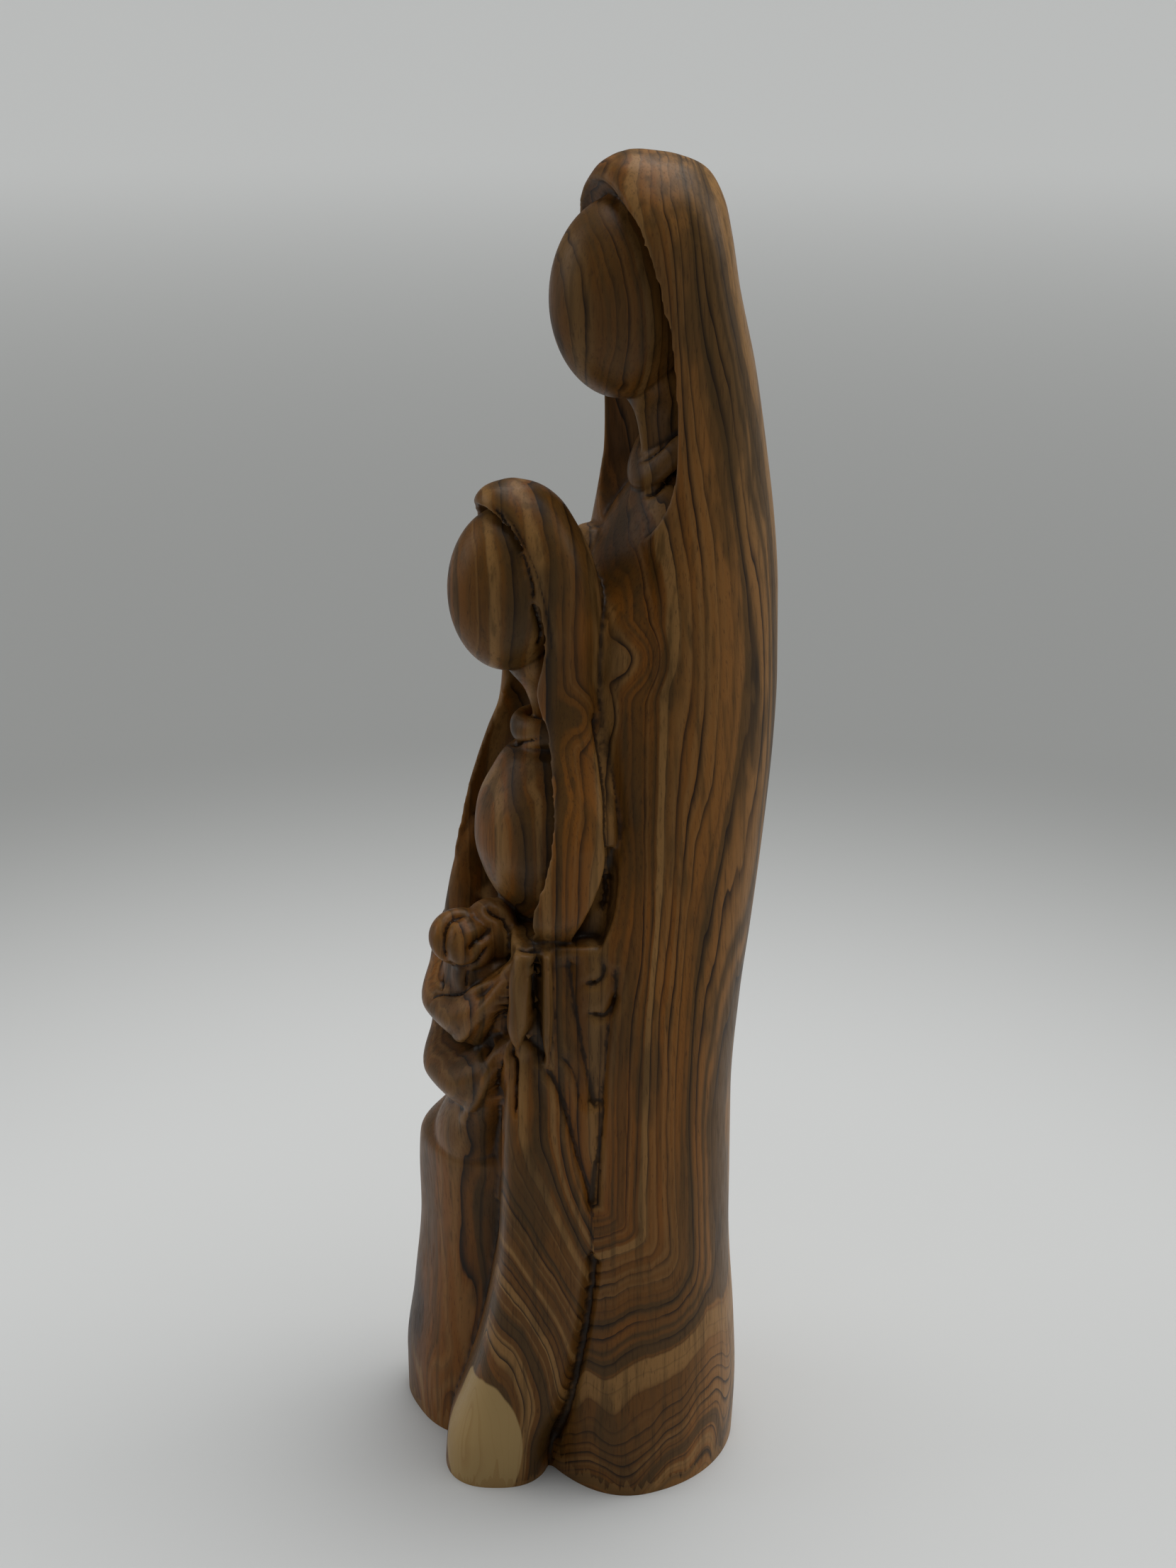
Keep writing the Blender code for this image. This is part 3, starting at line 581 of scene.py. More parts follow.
# Knife lines: reach to the right and to the left of the line as it is walked, depth (less than
# nothing is a crest), and the places that it passes.
KNIFE_LINES = [
    # Ledge: between the hanging lobe and the ridge beside it.
    (3.2, 1.6, 1.5, [(21.6, -22.4, 133.2), (22.0, -22.9, 128.6), (22.2, -23.0, 122.8),
        (22.5, -22.9, 116.2), (22.8, -22.7, 111.1), (23.1, -22.4, 107.1)]),
    # Ledge: behind the ridge.
    (3.4, 3.0, 1.3, [(24.5, -16.4, 133.0), (25.1, -16.2, 129.4), (25.9, -15.8, 123.8),
        (26.7, -15.1, 118.1), (27.4, -14.2, 111.4), (28.1, -13.0, 104.6), (28.7, -11.9, 96.0)]),
    # The check in the wood below the lobe.
    (0.7, 0.7, 1.3, [(17.7, -25.5, 114.3), (18.3, -26.9, 111.8), (19.0, -27.6, 109.1),
        (19.7, -26.7, 107.9), (20.1, -27.0, 104.0), (20.6, -27.5, 99.1), (21.1, -27.6, 95.1)]),
    # Round the hanging lobe.
    (3.0, 0.9, 1.5, [(20.2, -24.6, 132.2), (17.1, -26.0, 129.4), (18.4, -27.4, 126.3),
        (19.0, -27.9, 123.3), (17.3, -28.2, 118.8), (15.3, -26.7, 114.9), (17.4, -25.6, 114.2)]),
    # From the lobe's tip to the ridge's foot.
    (1.2, 2.6, 0.9, [(17.4, -25.6, 114.2), (20.4, -24.9, 113.4), (21.6, -23.7, 110.8),
        (23.1, -22.4, 107.1)]),
    # Upper notch where the mantle is held.
    (1.6, 1.2, 0.9, [(26.4, -14.3, 125.9), (26.8, -13.1, 126.5), (27.6, -11.4, 126.8),
        (28.5, -10.1, 128.6), (28.3, -9.7, 130.8), (27.5, -10.0, 132.2)]),
    # Lower notch.
    (1.6, 1.2, 0.9, [(27.3, -13.5, 118.7), (27.8, -12.3, 119.5), (29.3, -10.5, 119.3),
        (30.4, -9.0, 121.1), (30.7, -8.1, 123.4), (30.6, -7.7, 125.3)]),
    # Short crease in the panel.
    (1.0, 2.0, 0.6, [(25.3, -18.9, 110.4), (26.1, -17.6, 108.4), (26.7, -16.3, 105.7),
        (27.2, -15.5, 102.7), (27.6, -14.9, 97.9)]),
    # Between the near fold and the panel.
    (1.0, 4.0, 1.1, [(23.3, -22.1, 107.1), (24.7, -20.4, 103.8), (25.7, -18.8, 99.3),
        (26.8, -17.1, 92.0), (27.9, -15.5, 84.2), (28.9, -13.7, 77.3), (29.5, -12.6, 71.6)]),
    # Down the mantle's edge, past the panel and the near fold.
    (2.8, 1.8, 0.9, [(29.6, -7.6, 131.3), (30.6, -7.7, 125.0), (30.4, -9.5, 116.8),
        (29.9, -10.3, 106.6), (29.6, -10.6, 97.9), (29.4, -11.0, 89.2), (29.3, -11.8, 80.6),
        (29.5, -12.3, 72.8), (29.6, -12.9, 61.3), (27.6, -12.9, 45.7), (25.8, -14.6, 31.2),
        (22.9, -16.1, 17.6), (18.1, -17.6, 6.5)]),
    # Rim of the child's hood.
    (0.8, 2.6, 1.2, [(2.7, -30.3, 136.8), (1.8, -32.3, 137.1), (1.5, -34.4, 136.6),
        (2.3, -36.3, 135.3), (3.4, -37.6, 132.5), (3.2, -37.6, 129.0), (3.6, -36.8, 126.4)]),
    # Under the child's chin.
    (0.8, 1.2, 0.9, [(2.6, -35.8, 126.4), (5.4, -33.8, 125.4), (8.0, -31.4, 127.0),
        (9.2, -29.4, 130.0), (8.6, -28.1, 131.9)]),
    # Hollow in the child's hood.
    (1.5, 1.5, 1.2, [(8.8, -32.6, 129.1), (8.8, -32.9, 131.2), (8.7, -31.5, 132.9),
        (8.1, -29.2, 133.6), (7.0, -27.0, 134.9)]),
    # Child's neck.
    (0.6, 0.6, 0.6, [(7.8, -32.7, 127.0), (5.8, -32.5, 123.1), (5.8, -33.1, 120.5)]),
    # Child's neck, far side.
    (0.6, 0.8, 0.8, [(-5.6, -33.4, 121.0), (-5.5, -34.5, 119.4), (-3.2, -35.3, 118.4),
        (-1.9, -36.1, 117.3)]),
    # Foot of the child's neck.
    (0.8, 0.8, 0.7, [(-4.1, -37.9, 114.0), (-3.7, -37.4, 115.8), (-1.8, -36.2, 117.2),
        (1.7, -34.8, 118.2), (5.3, -33.7, 119.6), (7.0, -32.4, 120.9)]),
    # Behind the child's hood.
    (1.0, 1.6, 1.2, [(2.1, -26.5, 138.4), (4.8, -26.1, 137.6), (6.1, -24.8, 137.0),
        (6.9, -23.2, 136.0), (7.9, -23.2, 134.5), (8.8, -23.6, 132.9)]),
    # Crests of the wrap's folds.
    (1.4, 1.4, -0.8, [(7.0, -33.0, 119.6), (11.0, -30.6, 122.8), (14.2, -27.4, 127.0),
        (16.6, -24.6, 131.6)]),
    (1.6, 1.6, -0.8, [(3.0, -35.6, 105.6), (8.4, -34.3, 110.8), (12.2, -33.6, 115.3),
        (14.7, -32.2, 119.2), (16.4, -30.3, 122.2)]),
    (1.6, 1.6, -0.8, [(2.9, -36.8, 85.7), (4.7, -34.4, 88.5), (6.6, -32.3, 92.1),
        (13.1, -32.1, 99.4), (15.9, -31.2, 104.4)]),
    # Hollows below them.
    (2.6, 2.2, 0.9, [(11.2, -33.1, 120.3), (12.1, -31.4, 122.4), (13.0, -28.8, 125.3),
        (14.3, -26.8, 127.8)]),
    (2.6, 2.2, 0.9, [(12.8, -32.3, 105.4), (10.4, -29.5, 109.0), (13.7, -29.3, 113.7),
        (16.7, -29.2, 118.4)]),
    # Beside the near fold.
    (3.0, 0.9, 1.4, [(17.2, -29.0, 108.6), (16.7, -29.5, 103.0), (14.8, -29.0, 95.1),
        (16.0, -29.6, 87.0)]),
    # Notch at the ledge's front end.
    (1.0, 1.0, 1.2, [(20.0, -24.8, 132.3), (20.8, -23.5, 133.2), (21.4, -22.3, 133.7),
        (21.9, -21.5, 133.6)]),
    # Smaller hood: crease along the face.
    (1.0, 0.6, 0.75, [(4.0, -24.8, 229.0), (6.1, -23.7, 227.8), (8.5, -22.4, 224.7),
        (11.7, -20.4, 218.6), (12.7, -19.3, 214.2), (11.8, -17.5, 207.3), (9.6, -15.4, 200.3),
        (12.6, -16.1, 196.5)]),
    # Smaller hood: back of its rim.
    (0.7, 0.9, 0.35, [(6.0, -23.3, 228.6), (8.9, -21.7, 225.7), (11.8, -19.8, 220.5),
        (13.5, -18.2, 215.1), (14.1, -16.9, 209.3), (14.3, -15.7, 203.1), (13.9, -14.9, 197.4)]),
    # Under the smaller collar.
    (0.8, 0.5, 0.8, [(-4.3, -16.6, 172.8), (1.4, -16.9, 174.5), (5.1, -16.3, 176.0),
        (6.9, -15.0, 177.3)]),
    # Behind the near sleeve.
    (1.6, 2.0, 1.1, [(15.0, -5.5, 184.7), (18.0, -5.3, 176.0), (21.8, -5.7, 167.5),
        (24.8, -6.8, 158.9), (22.5, -6.0, 148.2), (20.9, -6.9, 139.6)]),
    # Over and under the tall collar.
    (0.5, 0.9, 0.9, [(1.0, 12.3, 234.1), (3.5, 13.3, 235.7), (4.8, 14.7, 237.6),
        (5.4, 16.8, 239.7)]),
    (1.2, 0.5, 1.0, [(3.5, 11.6, 227.8), (5.5, 12.7, 228.6), (6.3, 14.7, 230.2),
        (6.1, 16.8, 231.5)]),
]
KNIFE_STEP = 0.3
KNIFE_EASE = 2.5
KNIFE_WIDTH = 1.15
KNIFE_DEPTH = 1.45
KNIFE_HOLLOWING = 1.3
KNIFE_END_DEPTH = 0.15
KNIFE_FACING = 0.1


def knife_line(points, normals, surface, right, left, depth, places):
    """Moves of all points for one line: depth x (1 - distance / reach)^KNIFE_HOLLOWING against
    the normal, where distance is to the line laid on the skin. Within KNIFE_EASE of its ends the
    depth falls to KNIFE_END_DEPTH of itself. Points that face another way stay."""
    length = np.linalg.norm(np.diff(places, axis=0), axis=1).sum()
    steps = max(4, int(length / KNIFE_STEP))
    rows = np.column_stack([places, np.arange(len(places))])
    path = smooth_rows(rows, steps)[:3].T
    found = [surface.find_nearest(Vector(place * MILLIMETRE)) for place in path]
    path = np.array([place for place, normal, face, gap in found]) / MILLIMETRE
    outward = np.array([normal for place, normal, face, gap in found])
    forward = np.gradient(path, axis=0)
    to_right = np.cross(forward, outward)
    right, left = KNIFE_WIDTH * right, KNIFE_WIDTH * left
    reach = max(right, left)
    close = ((points > path.min(axis=0) - reach) & (points < path.max(axis=0) + reach)).all(axis=1)
    near = np.flatnonzero(close)
    apart = points[near, None] - path
    distance = np.linalg.norm(apart, axis=2)
    step = distance.argmin(axis=1)
    row = np.arange(len(near))
    side = (apart[row, step] * to_right[step]).sum(axis=1)
    share = 1.0 - distance[row, step] / np.where(side > 0.0, right, left)
    share = np.clip(share, 0.0, 1.0) ** KNIFE_HOLLOWING
    along = step * KNIFE_STEP
    from_end = np.minimum(along, steps * KNIFE_STEP - along)
    ease = np.clip(from_end / KNIFE_EASE, KNIFE_END_DEPTH, 1.0)
    facing = (normals[near] * outward[step]).sum(axis=1) > KNIFE_FACING
    moves = np.zeros_like(points)
    moves[near] = -(KNIFE_DEPTH * depth * share * ease * facing)[:, None] * outward[step]
    return moves


points = points_of(fine_skin)
normals = np.empty(len(fine_skin.vertices) * 3, np.float32)
fine_skin.vertices.foreach_get("normal", normals)
normals = normals.reshape(-1, 3).astype(float)
work = bmesh.new()
work.from_mesh(fine_skin)
surface = BVHTree.FromBMesh(work)
work.free()
carved = points + sum(
    knife_line(points, normals, surface, right, left, depth, np.array(places))
    for right, left, depth, places in KNIFE_LINES
)


def neighbours_mean(mesh, points, rounds):
    """Mean place round each point: half its own place and half the mean of the points joined to
    it, taken again and again."""
    ends = np.empty(len(mesh.edges) * 2, np.int32)
    mesh.edges.foreach_get("vertices", ends)
    first, second = ends.reshape(-1, 2).T
    joined = np.bincount(ends, minlength=len(points))
    mean = points.copy()
    for _ in range(rounds):
        total = [
            np.bincount(first, mean[second, axis], len(points))
            + np.bincount(second, mean[first, axis], len(points))
            for axis in range(3)
        ]
        mean = 0.5 * mean + 0.5 * np.stack(total, -1) / joined[:, None]
    return mean


# Thin rims are rubbed round: a point that stands out from the mean round it moves to that mean.
CREST_PASSES = 2
CREST_ROUNDS = 5
CREST_RISE = (0.06, 0.16)
for _ in range(CREST_PASSES):
    mean = neighbours_mean(fine_skin, carved, CREST_ROUNDS)
    rise = ((carved - mean) * normals).sum(axis=1)
    share = np.clip((rise - CREST_RISE[0]) / (CREST_RISE[1] - CREST_RISE[0]), 0.0, 1.0)
    carved += share[:, None] * (mean - carved)
fine_skin.vertices.foreach_set("co", (carved * MILLIMETRE).astype(np.float32).ravel())
fine_skin.update()

statue = bpy.data.objects.new("carved_group", fine_skin)
bpy.context.scene.collection.objects.link(statue)
thinning = statue.modifiers.new("thinning", "DECIMATE")
triangles = sum(len(face.vertices) - 2 for face in fine_skin.polygons)
thinning.ratio = min(1.0, SKIN_TRIANGLES / triangles)
thin_skin = with_modifiers(statue)
statue.modifiers.clear()

work = bmesh.new()
work.from_mesh(thin_skin)
everything = work.verts[:] + work.edges[:] + work.faces[:]
sawn = bmesh.ops.bisect_plane(
    work, geom=everything, plane_co=(0, 0, 0), plane_no=(0, 0, -1), clear_outer=True
)
rim = [piece for piece in sawn["geom_cut"] if isinstance(piece, bmesh.types.BMEdge)]
bmesh.ops.holes_fill(work, edges=rim)
work.to_mesh(thin_skin)
work.free()
statue.data = thin_skin

# The skin is laid into the box of the plainer solid, so that both have the same size.
points = points_of(thin_skin)
solid_low, solid_high = (np.array(corner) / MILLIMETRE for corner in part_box("holy_family"))
low, high = points.min(axis=0), points.max(axis=0)
points = solid_low + (points - low) * (solid_high - solid_low) / (high - low)
thin_skin.vertices.foreach_set("co", (points * MILLIMETRE).astype(np.float32).ravel())
thin_skin.shade_smooth()

# Hollows get painted shade in the colour, with some oil that stays in them, and crests are painted
# paler.
HOLLOW_ROUNDS = (5, 60)
HOLLOW_NAMES = ("fine_hollow", "broad_hollow")
SHARP_EDGE = math.radians(50.0)


def hollowness(mesh, points, rounds):
    """How far each point lies below the mean round it, along the normal, in millimetres."""
    normals = np.empty(len(points) * 3, np.float32)
    mesh.vertices.foreach_get("normal", normals)
    sunk = neighbours_mean(mesh, points, rounds) - points
    return (sunk * normals.reshape(-1, 3)).sum(axis=1)


for name, rounds in zip(HOLLOW_NAMES, HOLLOW_ROUNDS):
    values = thin_skin.attributes.new(name, "FLOAT", "POINT")
    values.data.foreach_set("value", hollowness(thin_skin, points, rounds).astype(np.float32))
thin_skin.set_sharp_from_angle(angle=SHARP_EDGE)
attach(statue, "root")
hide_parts("holy_family")

# ---- Olive wood --------------------------------------------------------------------------
# Oiled olive wood: brown heart with orange and grey-olive bands, thin dark growth lines round
# a leaning pith, a few knots, and pale sapwood where the log's rim was left.

wood = bpy.data.materials.new("olive_wood")
wood.use_nodes = True
tree = wood.node_tree
shader = tree.nodes["Principled BSDF"]


def node(kind, inputs=(), **settings):
    """New shader node with its settings, its inputs linked or set in order."""
    made = tree.nodes.new(kind)
    for name, value in settings.items():
        setattr(made, name, value)
    for place, value in dict(inputs).items():
        if isinstance(value, bpy.types.NodeSocket):
            tree.links.new(value, made.inputs[place])
        else:
            made.inputs[place].default_value = value
    return made


def maths(operation, first, second=0.0, third=0.0):
    """Result of one sum on two or three values."""
    return node("ShaderNodeMath", {0: first, 1: second, 2: third}, operation=operation).outputs[0]


def vector_maths(operation, first, second=(0.0, 0.0, 0.0)):
    """Result of one sum on two vectors: a vector from MULTIPLY, a number from the others."""
    made = node("ShaderNodeVectorMath", {0: first, 1: second}, operation=operation)
    return made.outputs[0 if operation == "MULTIPLY" else 1]


def shifted(value, by, size):
    """The value moved up or down by the noise: value + (by - 0.5) x size."""
    return maths("MULTIPLY_ADD", maths("SUBTRACT", by, 0.5), size, value)


def half_sizes_off(value, middle, half_size):
    """How many half sizes the value lies from the middle."""
    return maths("DIVIDE", maths("SUBTRACT", value, middle), half_size)


def rising(value, low, high, start=0.0, end=1.0):
    """start below low, end above high, and an eased rise between."""
    ease = node("ShaderNodeMapRange", {0: value, 1: low, 2: high, 3: start, 4: end})
    ease.interpolation_type = "SMOOTHSTEP"
    return ease.outputs[0]


def mixed(share, first, second):
    """Colour between the first and the second, by the share."""
    blend = node("ShaderNodeMix", {0: share, 6: first, 7: second}, data_type="RGBA")
    return blend.outputs[2]


place = node("ShaderNodeTexCoord").outputs["Object"]
in_millimetres = vector_maths("MULTIPLY", place, (1.0 / MILLIMETRE,) * 3)
east, north, height = node("ShaderNodeSeparateXYZ", {0: in_millimetres}).outputs


def noise(stretch, detail, roughness=0.5):
    """Noise in three directions, its steps per millimetre set for each of them."""
    run = vector_maths("MULTIPLY", in_millimetres, stretch)
    inputs = {"Vector": run, "Scale": 1.0, "Detail": detail, "Roughness": roughness}
    return node("ShaderNodeTexNoise", inputs).outputs[0]


# Growth is counted in millimetres from the back of the log. The back bends with the mantle, the
# wood before it runs straighter.
LOG_BACK = 50.0
STRAIGHT_BACK = 37.0
LOG_HEIGHT = 300.0
# share of the height, share of LOG_BACK
BACK_CURVE = [
    (0.10, 0.68), (0.25, 0.64), (0.38, 0.69), (0.44, 0.76), (0.52, 0.83),
    (0.60, 0.88), (0.68, 0.89), (0.78, 0.83), (0.85, 0.75), (0.91, 0.66),
]
BACK_FOOT = (0.0, 0.67)
BACK_TOP = (1.0, 0.56)
back = node("ShaderNodeFloatCurve", {0: 1.0, 1: maths("DIVIDE", height, LOG_HEIGHT)})
curve = back.mapping.curves[0]
for at, share in BACK_CURVE:
    curve.points.new(at, share)
curve.points[0].location = BACK_FOOT
curve.points[-1].location = BACK_TOP
back.mapping.update()
bending = maths("MULTIPLY_ADD", back.outputs[0], LOG_BACK, -STRAIGHT_BACK)
log_back = maths("MULTIPLY_ADD", bending, rising(north, 2.0, 30.0, 0.25, 1.0), STRAIGHT_BACK)

drift = noise((0.020, 0.020, 0.0045), 2.0)
waver = noise((0.11, 0.11, 0.020), 3.0)
root_share = rising(height, 14.0, 62.0, 1.0, 0.0)

# At the root the lines behind the crease turn forward and run round it, while those before it
# bow round the foot.
CREASE_TOP = 74.0
CREASE_STRAIGHT_FROM = 60.0
CREASE_LEAN = 0.1
CREASE_AT_GROUND = -18.0
CREASE_ROUNDING = 0.6
FOOT = (19.0, -37.0, 12.0)
FOOT_BOW = 44.0
slope_height = maths("MINIMUM", height, CREASE_STRAIGHT_FROM)
crease = maths("MULTIPLY_ADD", slope_height, CREASE_LEAN, CREASE_AT_GROUND)
behind_crease = maths("SUBTRACT", north, crease)
below_top = maths("MAXIMUM", maths("SUBTRACT", CREASE_TOP, height), 0.0)
below_top = maths("MULTIPLY", below_top, rising(east, -30.0, 8.0))
turn_width = maths("MULTIPLY", below_top, CREASE_ROUNDING)
turned_growth = maths("SMOOTH_MAX", behind_crease, below_top, turn_width)
from_foot = vector_maths("DISTANCE", in_millimetres, FOOT)
bow = maths("MULTIPLY", rising(from_foot, 6.0, 82.0, FOOT_BOW, 0.0), rising(east, 4.0, 15.0))
bowed_growth = maths("SUBTRACT", behind_crease, bow)
is_behind = maths("GREATER_THAN", behind_crease, 0.0)
from_crease = maths("MULTIPLY", maths("SUBTRACT", turned_growth, bowed_growth), is_behind)
from_crease = maths("ADD", bowed_growth, from_crease)
plain_growth = maths("SUBTRACT", maths("SUBTRACT", log_back, crease), from_crease)

# The pith leans, and the lines drift and waver. At the root they waver less and sway more.
PITH_LEAN = -0.34
DRIFT_SIZE = 30.0
WAVER_SIZE = 5.0
WAVER_LESS_AT_ROOT = -2.0
ROOT_WAVE_SIZE = 24.0
growth = maths("MULTIPLY_ADD", east, PITH_LEAN, plain_growth)
growth = shifted(growth, drift, DRIFT_SIZE)
waver_size = maths("MULTIPLY_ADD", root_share, WAVER_LESS_AT_ROOT, WAVER_SIZE)
growth = shifted(growth, waver, waver_size)
root_wave = noise((0.075, 0.075, 0.030), 0.6)
growth = shifted(growth, root_wave, maths("MULTIPLY", root_share, ROOT_WAVE_SIZE))

# Knots bend the growth round them: place, reach, strength.
KNOTS = [
    ((21.0, 1.6, 196.0), 10.0, 6.0),
    ((17.5, -8.0, 184.0), 9.0, 5.0),
    ((2.0, 14.0, 302.0), 20.0, 7.0),
]
for spot, reach, strength in KNOTS:
    apart = vector_maths("DISTANCE", in_millimetres, spot)
    growth = maths("ADD", growth, rising(apart, 0.0, reach, strength, 0.0))

# The last part of each year is a dark line: its start, how far luck moves that, where it is
# darkest and where it fades, as shares of the year.
YEAR_WIDTH = 2.7
LINE_START = 0.80
LINE_LUCK = -0.30
LINE_DARKEST = 0.93
LINE_FADES = 0.94
LINE_SHARPNESS = 1.3
year = maths("DIVIDE", growth, YEAR_WIDTH)
whole_year = maths("FLOOR", year)
in_year = maths("SUBTRACT", year, whole_year)
luck = node("ShaderNodeTexWhiteNoise", {"W": whole_year}, noise_dimensions="1D").outputs[0]
line_edge = maths("MULTIPLY_ADD", luck, LINE_LUCK, LINE_START)
dark_line = node("ShaderNodeMapRange", {0: in_year, 1: line_edge, 2: LINE_DARKEST}).outputs[0]
dark_line = maths("MULTIPLY", dark_line, rising(in_year, LINE_FADES, 1.0, 1.0, 0.0))
dark_line = maths("POWER", dark_line, LINE_SHARPNESS)
dark_line = maths("MULTIPLY", dark_line, rising(luck, 0.15, 0.75, 0.25, 1.0))
fading = noise((0.07, 0.07, 0.022), 2.0)
dark_line = maths("MULTIPLY", dark_line, rising(fading, 0.34, 0.54, 0.45, 1.0))

BAND_WIDTH = 7.0
band_place = maths("DIVIDE", growth, BAND_WIDTH)
banding = {"W": band_place, "Scale": 1.0, "Detail": 2.0, "Roughness": 0.6}
bands = node("ShaderNodeTexNoise", banding, noise_dimensions="1D").outputs[0]
patches = noise((0.05, 0.05, 0.016), 2.0)
smoke = noise((0.075, 0.075, 0.026), 3.0, 0.6)
streaks = noise((0.55, 0.55, 0.016), 2.0)
fibre = noise((2.1, 2.1, 0.16), 3.0, 0.65)
pores = noise((2.6, 2.6, 0.42), 1.0)

PALE_BROWN = (0.290, 0.150, 0.046, 1.0)
ORANGE_BROWN = (0.208, 0.073, 0.009, 1.0)
MID_BROWN = (0.138, 0.055, 0.009, 1.0)
GREY_OLIVE = (0.066, 0.035, 0.009, 1.0)
# Dark colour of the growth lines, fibre and pores, also used for the painted shade in the hollows.
LINE_AND_SHADE_BROWN = (0.010, 0.004, 0.001, 1.0)
SAPWOOD = (0.40, 0.265, 0.105, 1.0)
STAIN = (0.016, 0.014, 0.015, 1.0)

body_colour = mixed(rising(patches, 0.42, 0.58), ORANGE_BROWN, MID_BROWN)
outer_share = rising(maths("SUBTRACT", log_back, north), 3.0, 34.0, 0.80, 0.0)
body_colour = mixed(outer_share, body_colour, PALE_BROWN)
body_colour = mixed(rising(bands, 0.38, 0.49, 0.85, 0.0), body_colour, PALE_BROWN)
body_colour = mixed(rising(bands, 0.53, 0.61, 0.0, 0.75), body_colour, GREY_OLIVE)
body_colour = mixed(rising(smoke, 0.53, 0.64, 0.0, 0.60), body_colour, GREY_OLIVE)
body_colour = mixed(rising(streaks, 0.50, 0.72, 0.0, 0.55), body_colour, GREY_OLIVE)

# Darker heartwood and painted shade on the tall face under its hood, under its chin and on the
# recessed ledge: place, reach, share.
DARK_AND_SHADED_SPOTS = [
    ((2.0, 0.0, 270.0), 27.0, 0.55),
    ((0.0, 14.0, 240.0), 16.0, 0.30),
    ((24.0, -18.0, 120.0), 24.0, 0.45),
]
for spot, reach, share in DARK_AND_SHADED_SPOTS:
    apart = vector_maths("DISTANCE", in_millimetres, spot)
    body_colour = mixed(rising(apart, 0.55 * reach, reach, share, 0.0), body_colour, GREY_OLIVE)
body_colour = mixed(maths("MULTIPLY", dark_line, 0.97), body_colour, LINE_AND_SHADE_BROWN)
body_colour = mixed(rising(fibre, 0.50, 0.76, 0.0, 0.46), body_colour, LINE_AND_SHADE_BROWN)
body_colour = mixed(rising(pores, 0.66, 0.76, 0.0, 0.35), body_colour, LINE_AND_SHADE_BROWN)

# The near foot points along the view that its forms were laid out in: directions across it
# and out of it, and places along them.
FOOT_ACROSS = (0.4226, 0.9063, 0.0)
FOOT_OUTWARD = (0.9063, -0.4226, 0.0)
across_foot = vector_maths("DOT_PRODUCT", in_millimetres, FOOT_ACROSS)
out_of_foot = vector_maths("DOT_PRODUCT", in_millimetres, FOOT_OUTWARD)

# A dark stain runs up the front of the lap from the foot: middle and half size of it across
# and up, and how far the streaks fray its edge.
STAIN_ACROSS = (-43.5, 6.0)
STAIN_UP = (27.0, 21.0)
STAIN_FRAY = 0.9
stain_across = half_sizes_off(across_foot, *STAIN_ACROSS)
stain_up = half_sizes_off(height, *STAIN_UP)
stain_place = node("ShaderNodeCombineXYZ", {0: stain_across, 1: stain_up, 2: 0.0}).outputs[0]
stain_reach = shifted(vector_maths("LENGTH", stain_place), streaks, STAIN_FRAY)

# Sapwood: the rim of the log, which only the end of the near foot reaches, as an oval. It ends
# OVAL_DEPTH behind OVAL_FRONT.
OVAL_ACROSS = (-24.9, 10.0)
OVAL_UP = (11.0, 16.4)
OVAL_FRONT = 24.0
OVAL_DEPTH = 8.0
OVAL_FRAY = 0.25
oval_across = half_sizes_off(across_foot, *OVAL_ACROSS)
oval_up = half_sizes_off(height, *OVAL_UP)
oval_inward = maths("DIVIDE", maths("SUBTRACT", OVAL_FRONT, out_of_foot), OVAL_DEPTH)
oval_inward = maths("MAXIMUM", oval_inward, 0.0)
oval = node("ShaderNodeCombineXYZ", {0: oval_across, 1: oval_up, 2: oval_inward}).outputs[0]
oval_reach = shifted(vector_maths("LENGTH", oval), waver, OVAL_FRAY)
sap_share = rising(oval_reach, 0.95, 1.0, 1.0, 0.0)
body_colour = mixed(rising(stain_reach, 0.25, 1.05, 0.75, 0.0), body_colour, STAIN)
sap_colour = mixed(maths("MULTIPLY", dark_line, 0.25), SAPWOOD, ORANGE_BROWN)
body_colour = mixed(sap_share, body_colour, sap_colour)

fine_hollow, broad_hollow = (
    node("ShaderNodeAttribute", attribute_name=name).outputs["Fac"] for name in HOLLOW_NAMES
)
# Painted shade, with some oil, darkens the fine and broad hollows; the crests are painted paler.
body_colour = mixed(rising(fine_hollow, 0.01, 0.15, 0.0, 0.80), body_colour, LINE_AND_SHADE_BROWN)
body_colour = mixed(rising(broad_hollow, 0.25, 1.30, 0.0, 0.45), body_colour, LINE_AND_SHADE_BROWN)
body_colour = mixed(rising(fine_hollow, -0.14, -0.02, 0.38, 0.0), body_colour, PALE_BROWN)
tree.links.new(body_colour, shader.inputs["Base Color"])
tree.links.new(rising(fibre, 0.3, 0.75, 0.34, 0.50), shader.inputs["Roughness"])
shader.inputs["Specular IOR Level"].default_value = 0.18
statue.data.materials.clear()
statue.data.materials.append(wood)

# ---- Table, light and camera -------------------------------------------------------------
# A table top painted pale under the group, with painted shade in a ring round it, a broad soft
# light from above and a little behind, weaker ones from both sides, and a dim room.

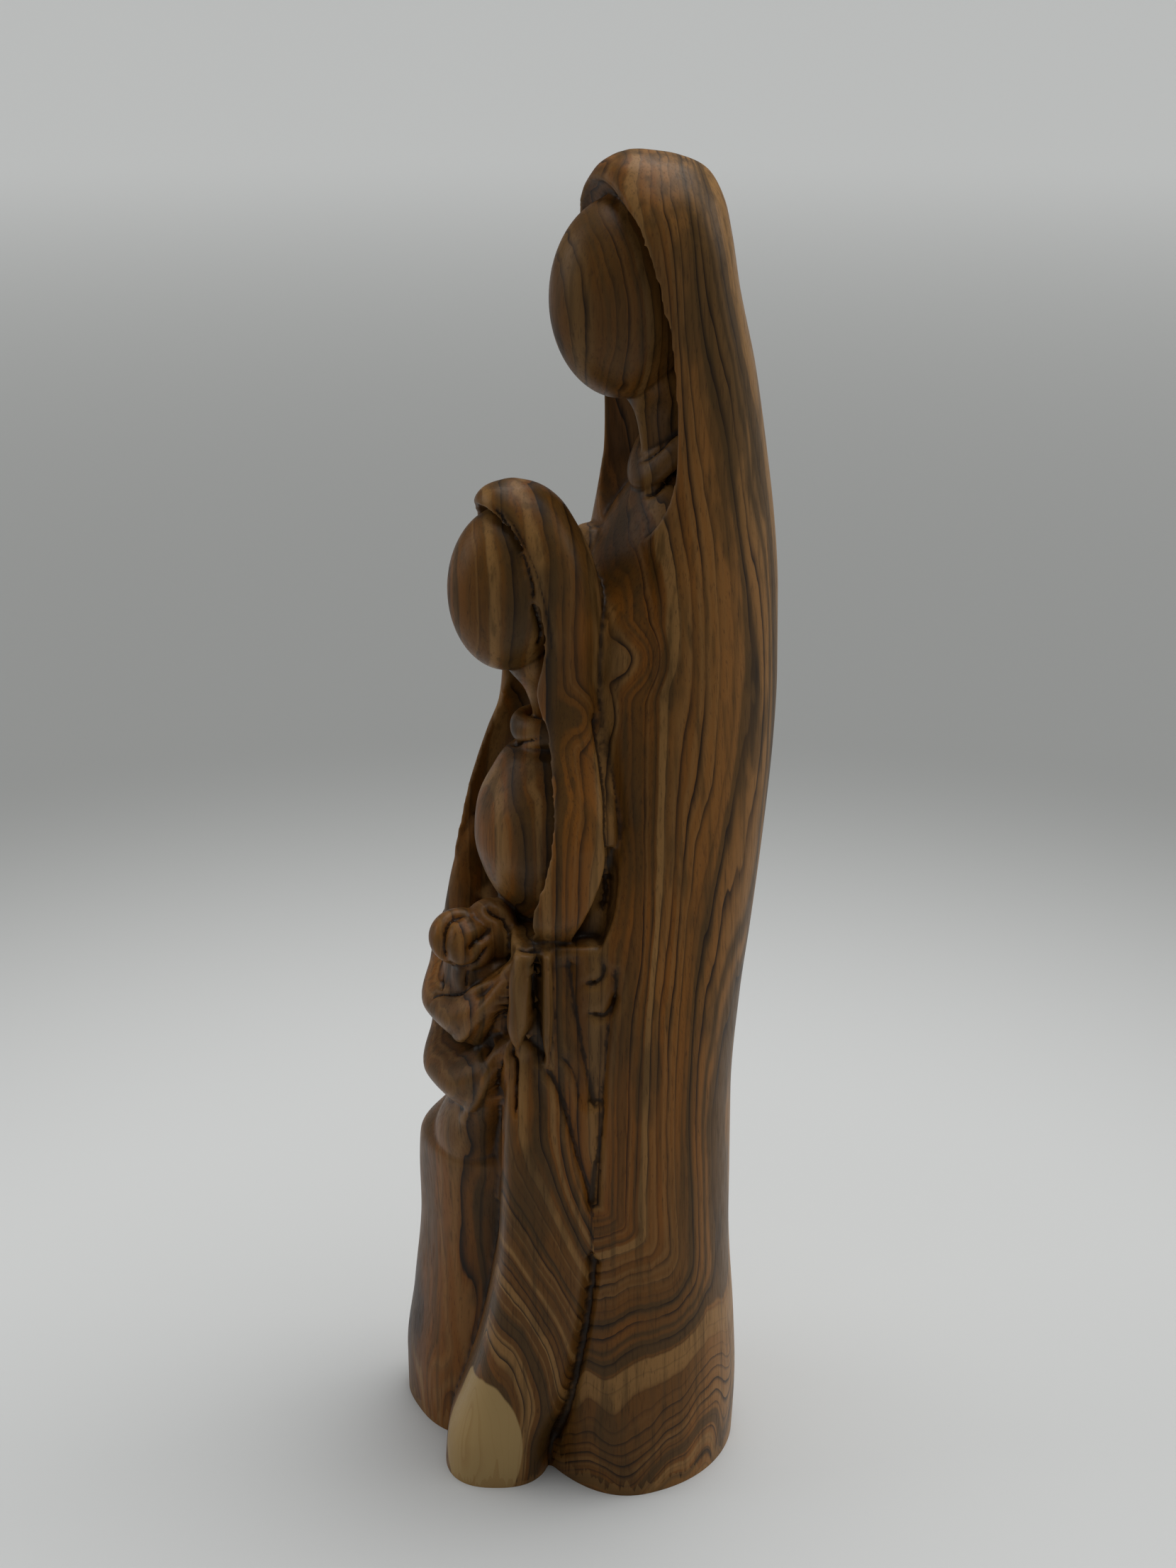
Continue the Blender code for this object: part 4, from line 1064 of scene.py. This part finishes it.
TABLE_HALF = 100.0
table_mesh = bpy.data.meshes.new("table_top")
ways = [(-1.0, -1.0), (1.0, -1.0), (1.0, 1.0), (-1.0, 1.0)]
corners = [(TABLE_HALF * east_way, TABLE_HALF * north_way, 0.0) for east_way, north_way in ways]
table_mesh.from_pydata(corners, [], [(0, 1, 2, 3)])
table_top = bpy.data.objects.new("table_top", table_mesh)
bpy.context.scene.collection.objects.link(table_top)
pale = bpy.data.materials.new("pale_table")
pale.use_nodes = True
tree = pale.node_tree
away = vector_maths("LENGTH", node("ShaderNodeTexCoord").outputs["Object"])
TABLE_PALE = (0.56, 0.567, 0.56, 1.0)
TABLE_SHADE = (0.262, 0.266, 0.259, 1.0)
TABLE_FAR = (0.468, 0.475, 0.468, 1.0)
# Painted shade on the table: pale under the group, darker from 0.17 to 0.56 m out, and paler again
# from 0.5 to 4.2 m out.
table_colour = mixed(rising(away, 0.17, 0.56), TABLE_PALE, TABLE_SHADE)
table_colour = mixed(rising(away, 0.5, 4.2), table_colour, TABLE_FAR)
tree.links.new(table_colour, tree.nodes["Principled BSDF"].inputs["Base Color"])
tree.nodes["Principled BSDF"].inputs["Roughness"].default_value = 0.85
tree.nodes["Principled BSDF"].inputs["Specular IOR Level"].default_value = 0.1
table_mesh.materials.append(pale)
table_top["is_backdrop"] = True

ROOM_GREY = (0.80, 0.82, 0.84, 1.0)
ROOM_STRENGTH = 0.17
room = bpy.data.worlds.new("room")
room.use_nodes = True
room.node_tree.nodes["Background"].inputs["Color"].default_value = ROOM_GREY
room.node_tree.nodes["Background"].inputs["Strength"].default_value = ROOM_STRENGTH
bpy.context.scene.world = room

# The lights have no places of their own, only directions that they come from: name, direction,
# width in degrees, strength.
LIGHTS = [
    ("ceiling", (0.08, -0.28, -1.0), 62.0, 2.60),
    ("right_window", (-0.20, -1.00, -0.42), 40.0, 0.62),
    ("left_window", (0.52, 0.84, -0.42), 40.0, 0.42),
]
for name, direction, width, strength in LIGHTS:
    lamp = bpy.data.lights.new(name, "SUN")
    lamp.angle = math.radians(width)
    lamp.energy = strength
    window = bpy.data.objects.new(name, lamp)
    window.rotation_euler = Vector(direction).to_track_quat("-Z", "Y").to_euler()
    bpy.context.scene.collection.objects.link(window)
    window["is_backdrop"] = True

CAMERA_AZIMUTH = math.radians(65.0)
CAMERA_PITCH = math.radians(18.7)
CAMERA_AWAY = 0.51283
CAMERA_HEIGHT = 0.33586
CAMERA_ANGLE = math.radians(36.0)
toward_camera = Vector((math.sin(CAMERA_AZIMUTH), -math.cos(CAMERA_AZIMUTH), 0.0))
to_the_right = Vector((math.cos(CAMERA_AZIMUTH), math.sin(CAMERA_AZIMUTH), 0.0))
upward = Vector((0.0, 0.0, 1.0))
looking = -toward_camera * math.cos(CAMERA_PITCH) - upward * math.sin(CAMERA_PITCH)
camera = bpy.data.objects.new("camera", bpy.data.cameras.new("camera"))
turned = Matrix((to_the_right, to_the_right.cross(looking), -looking)).transposed().to_4x4()
camera_place = toward_camera * CAMERA_AWAY + upward * CAMERA_HEIGHT
camera.matrix_world = Matrix.Translation(camera_place) @ turned
camera.data.sensor_fit = "VERTICAL"
camera.data.angle = CAMERA_ANGLE
camera.data.clip_start = 0.01
bpy.context.scene.collection.objects.link(camera)
bpy.context.scene.camera = camera
bpy.context.scene.view_settings.view_transform = "Standard"

low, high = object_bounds()
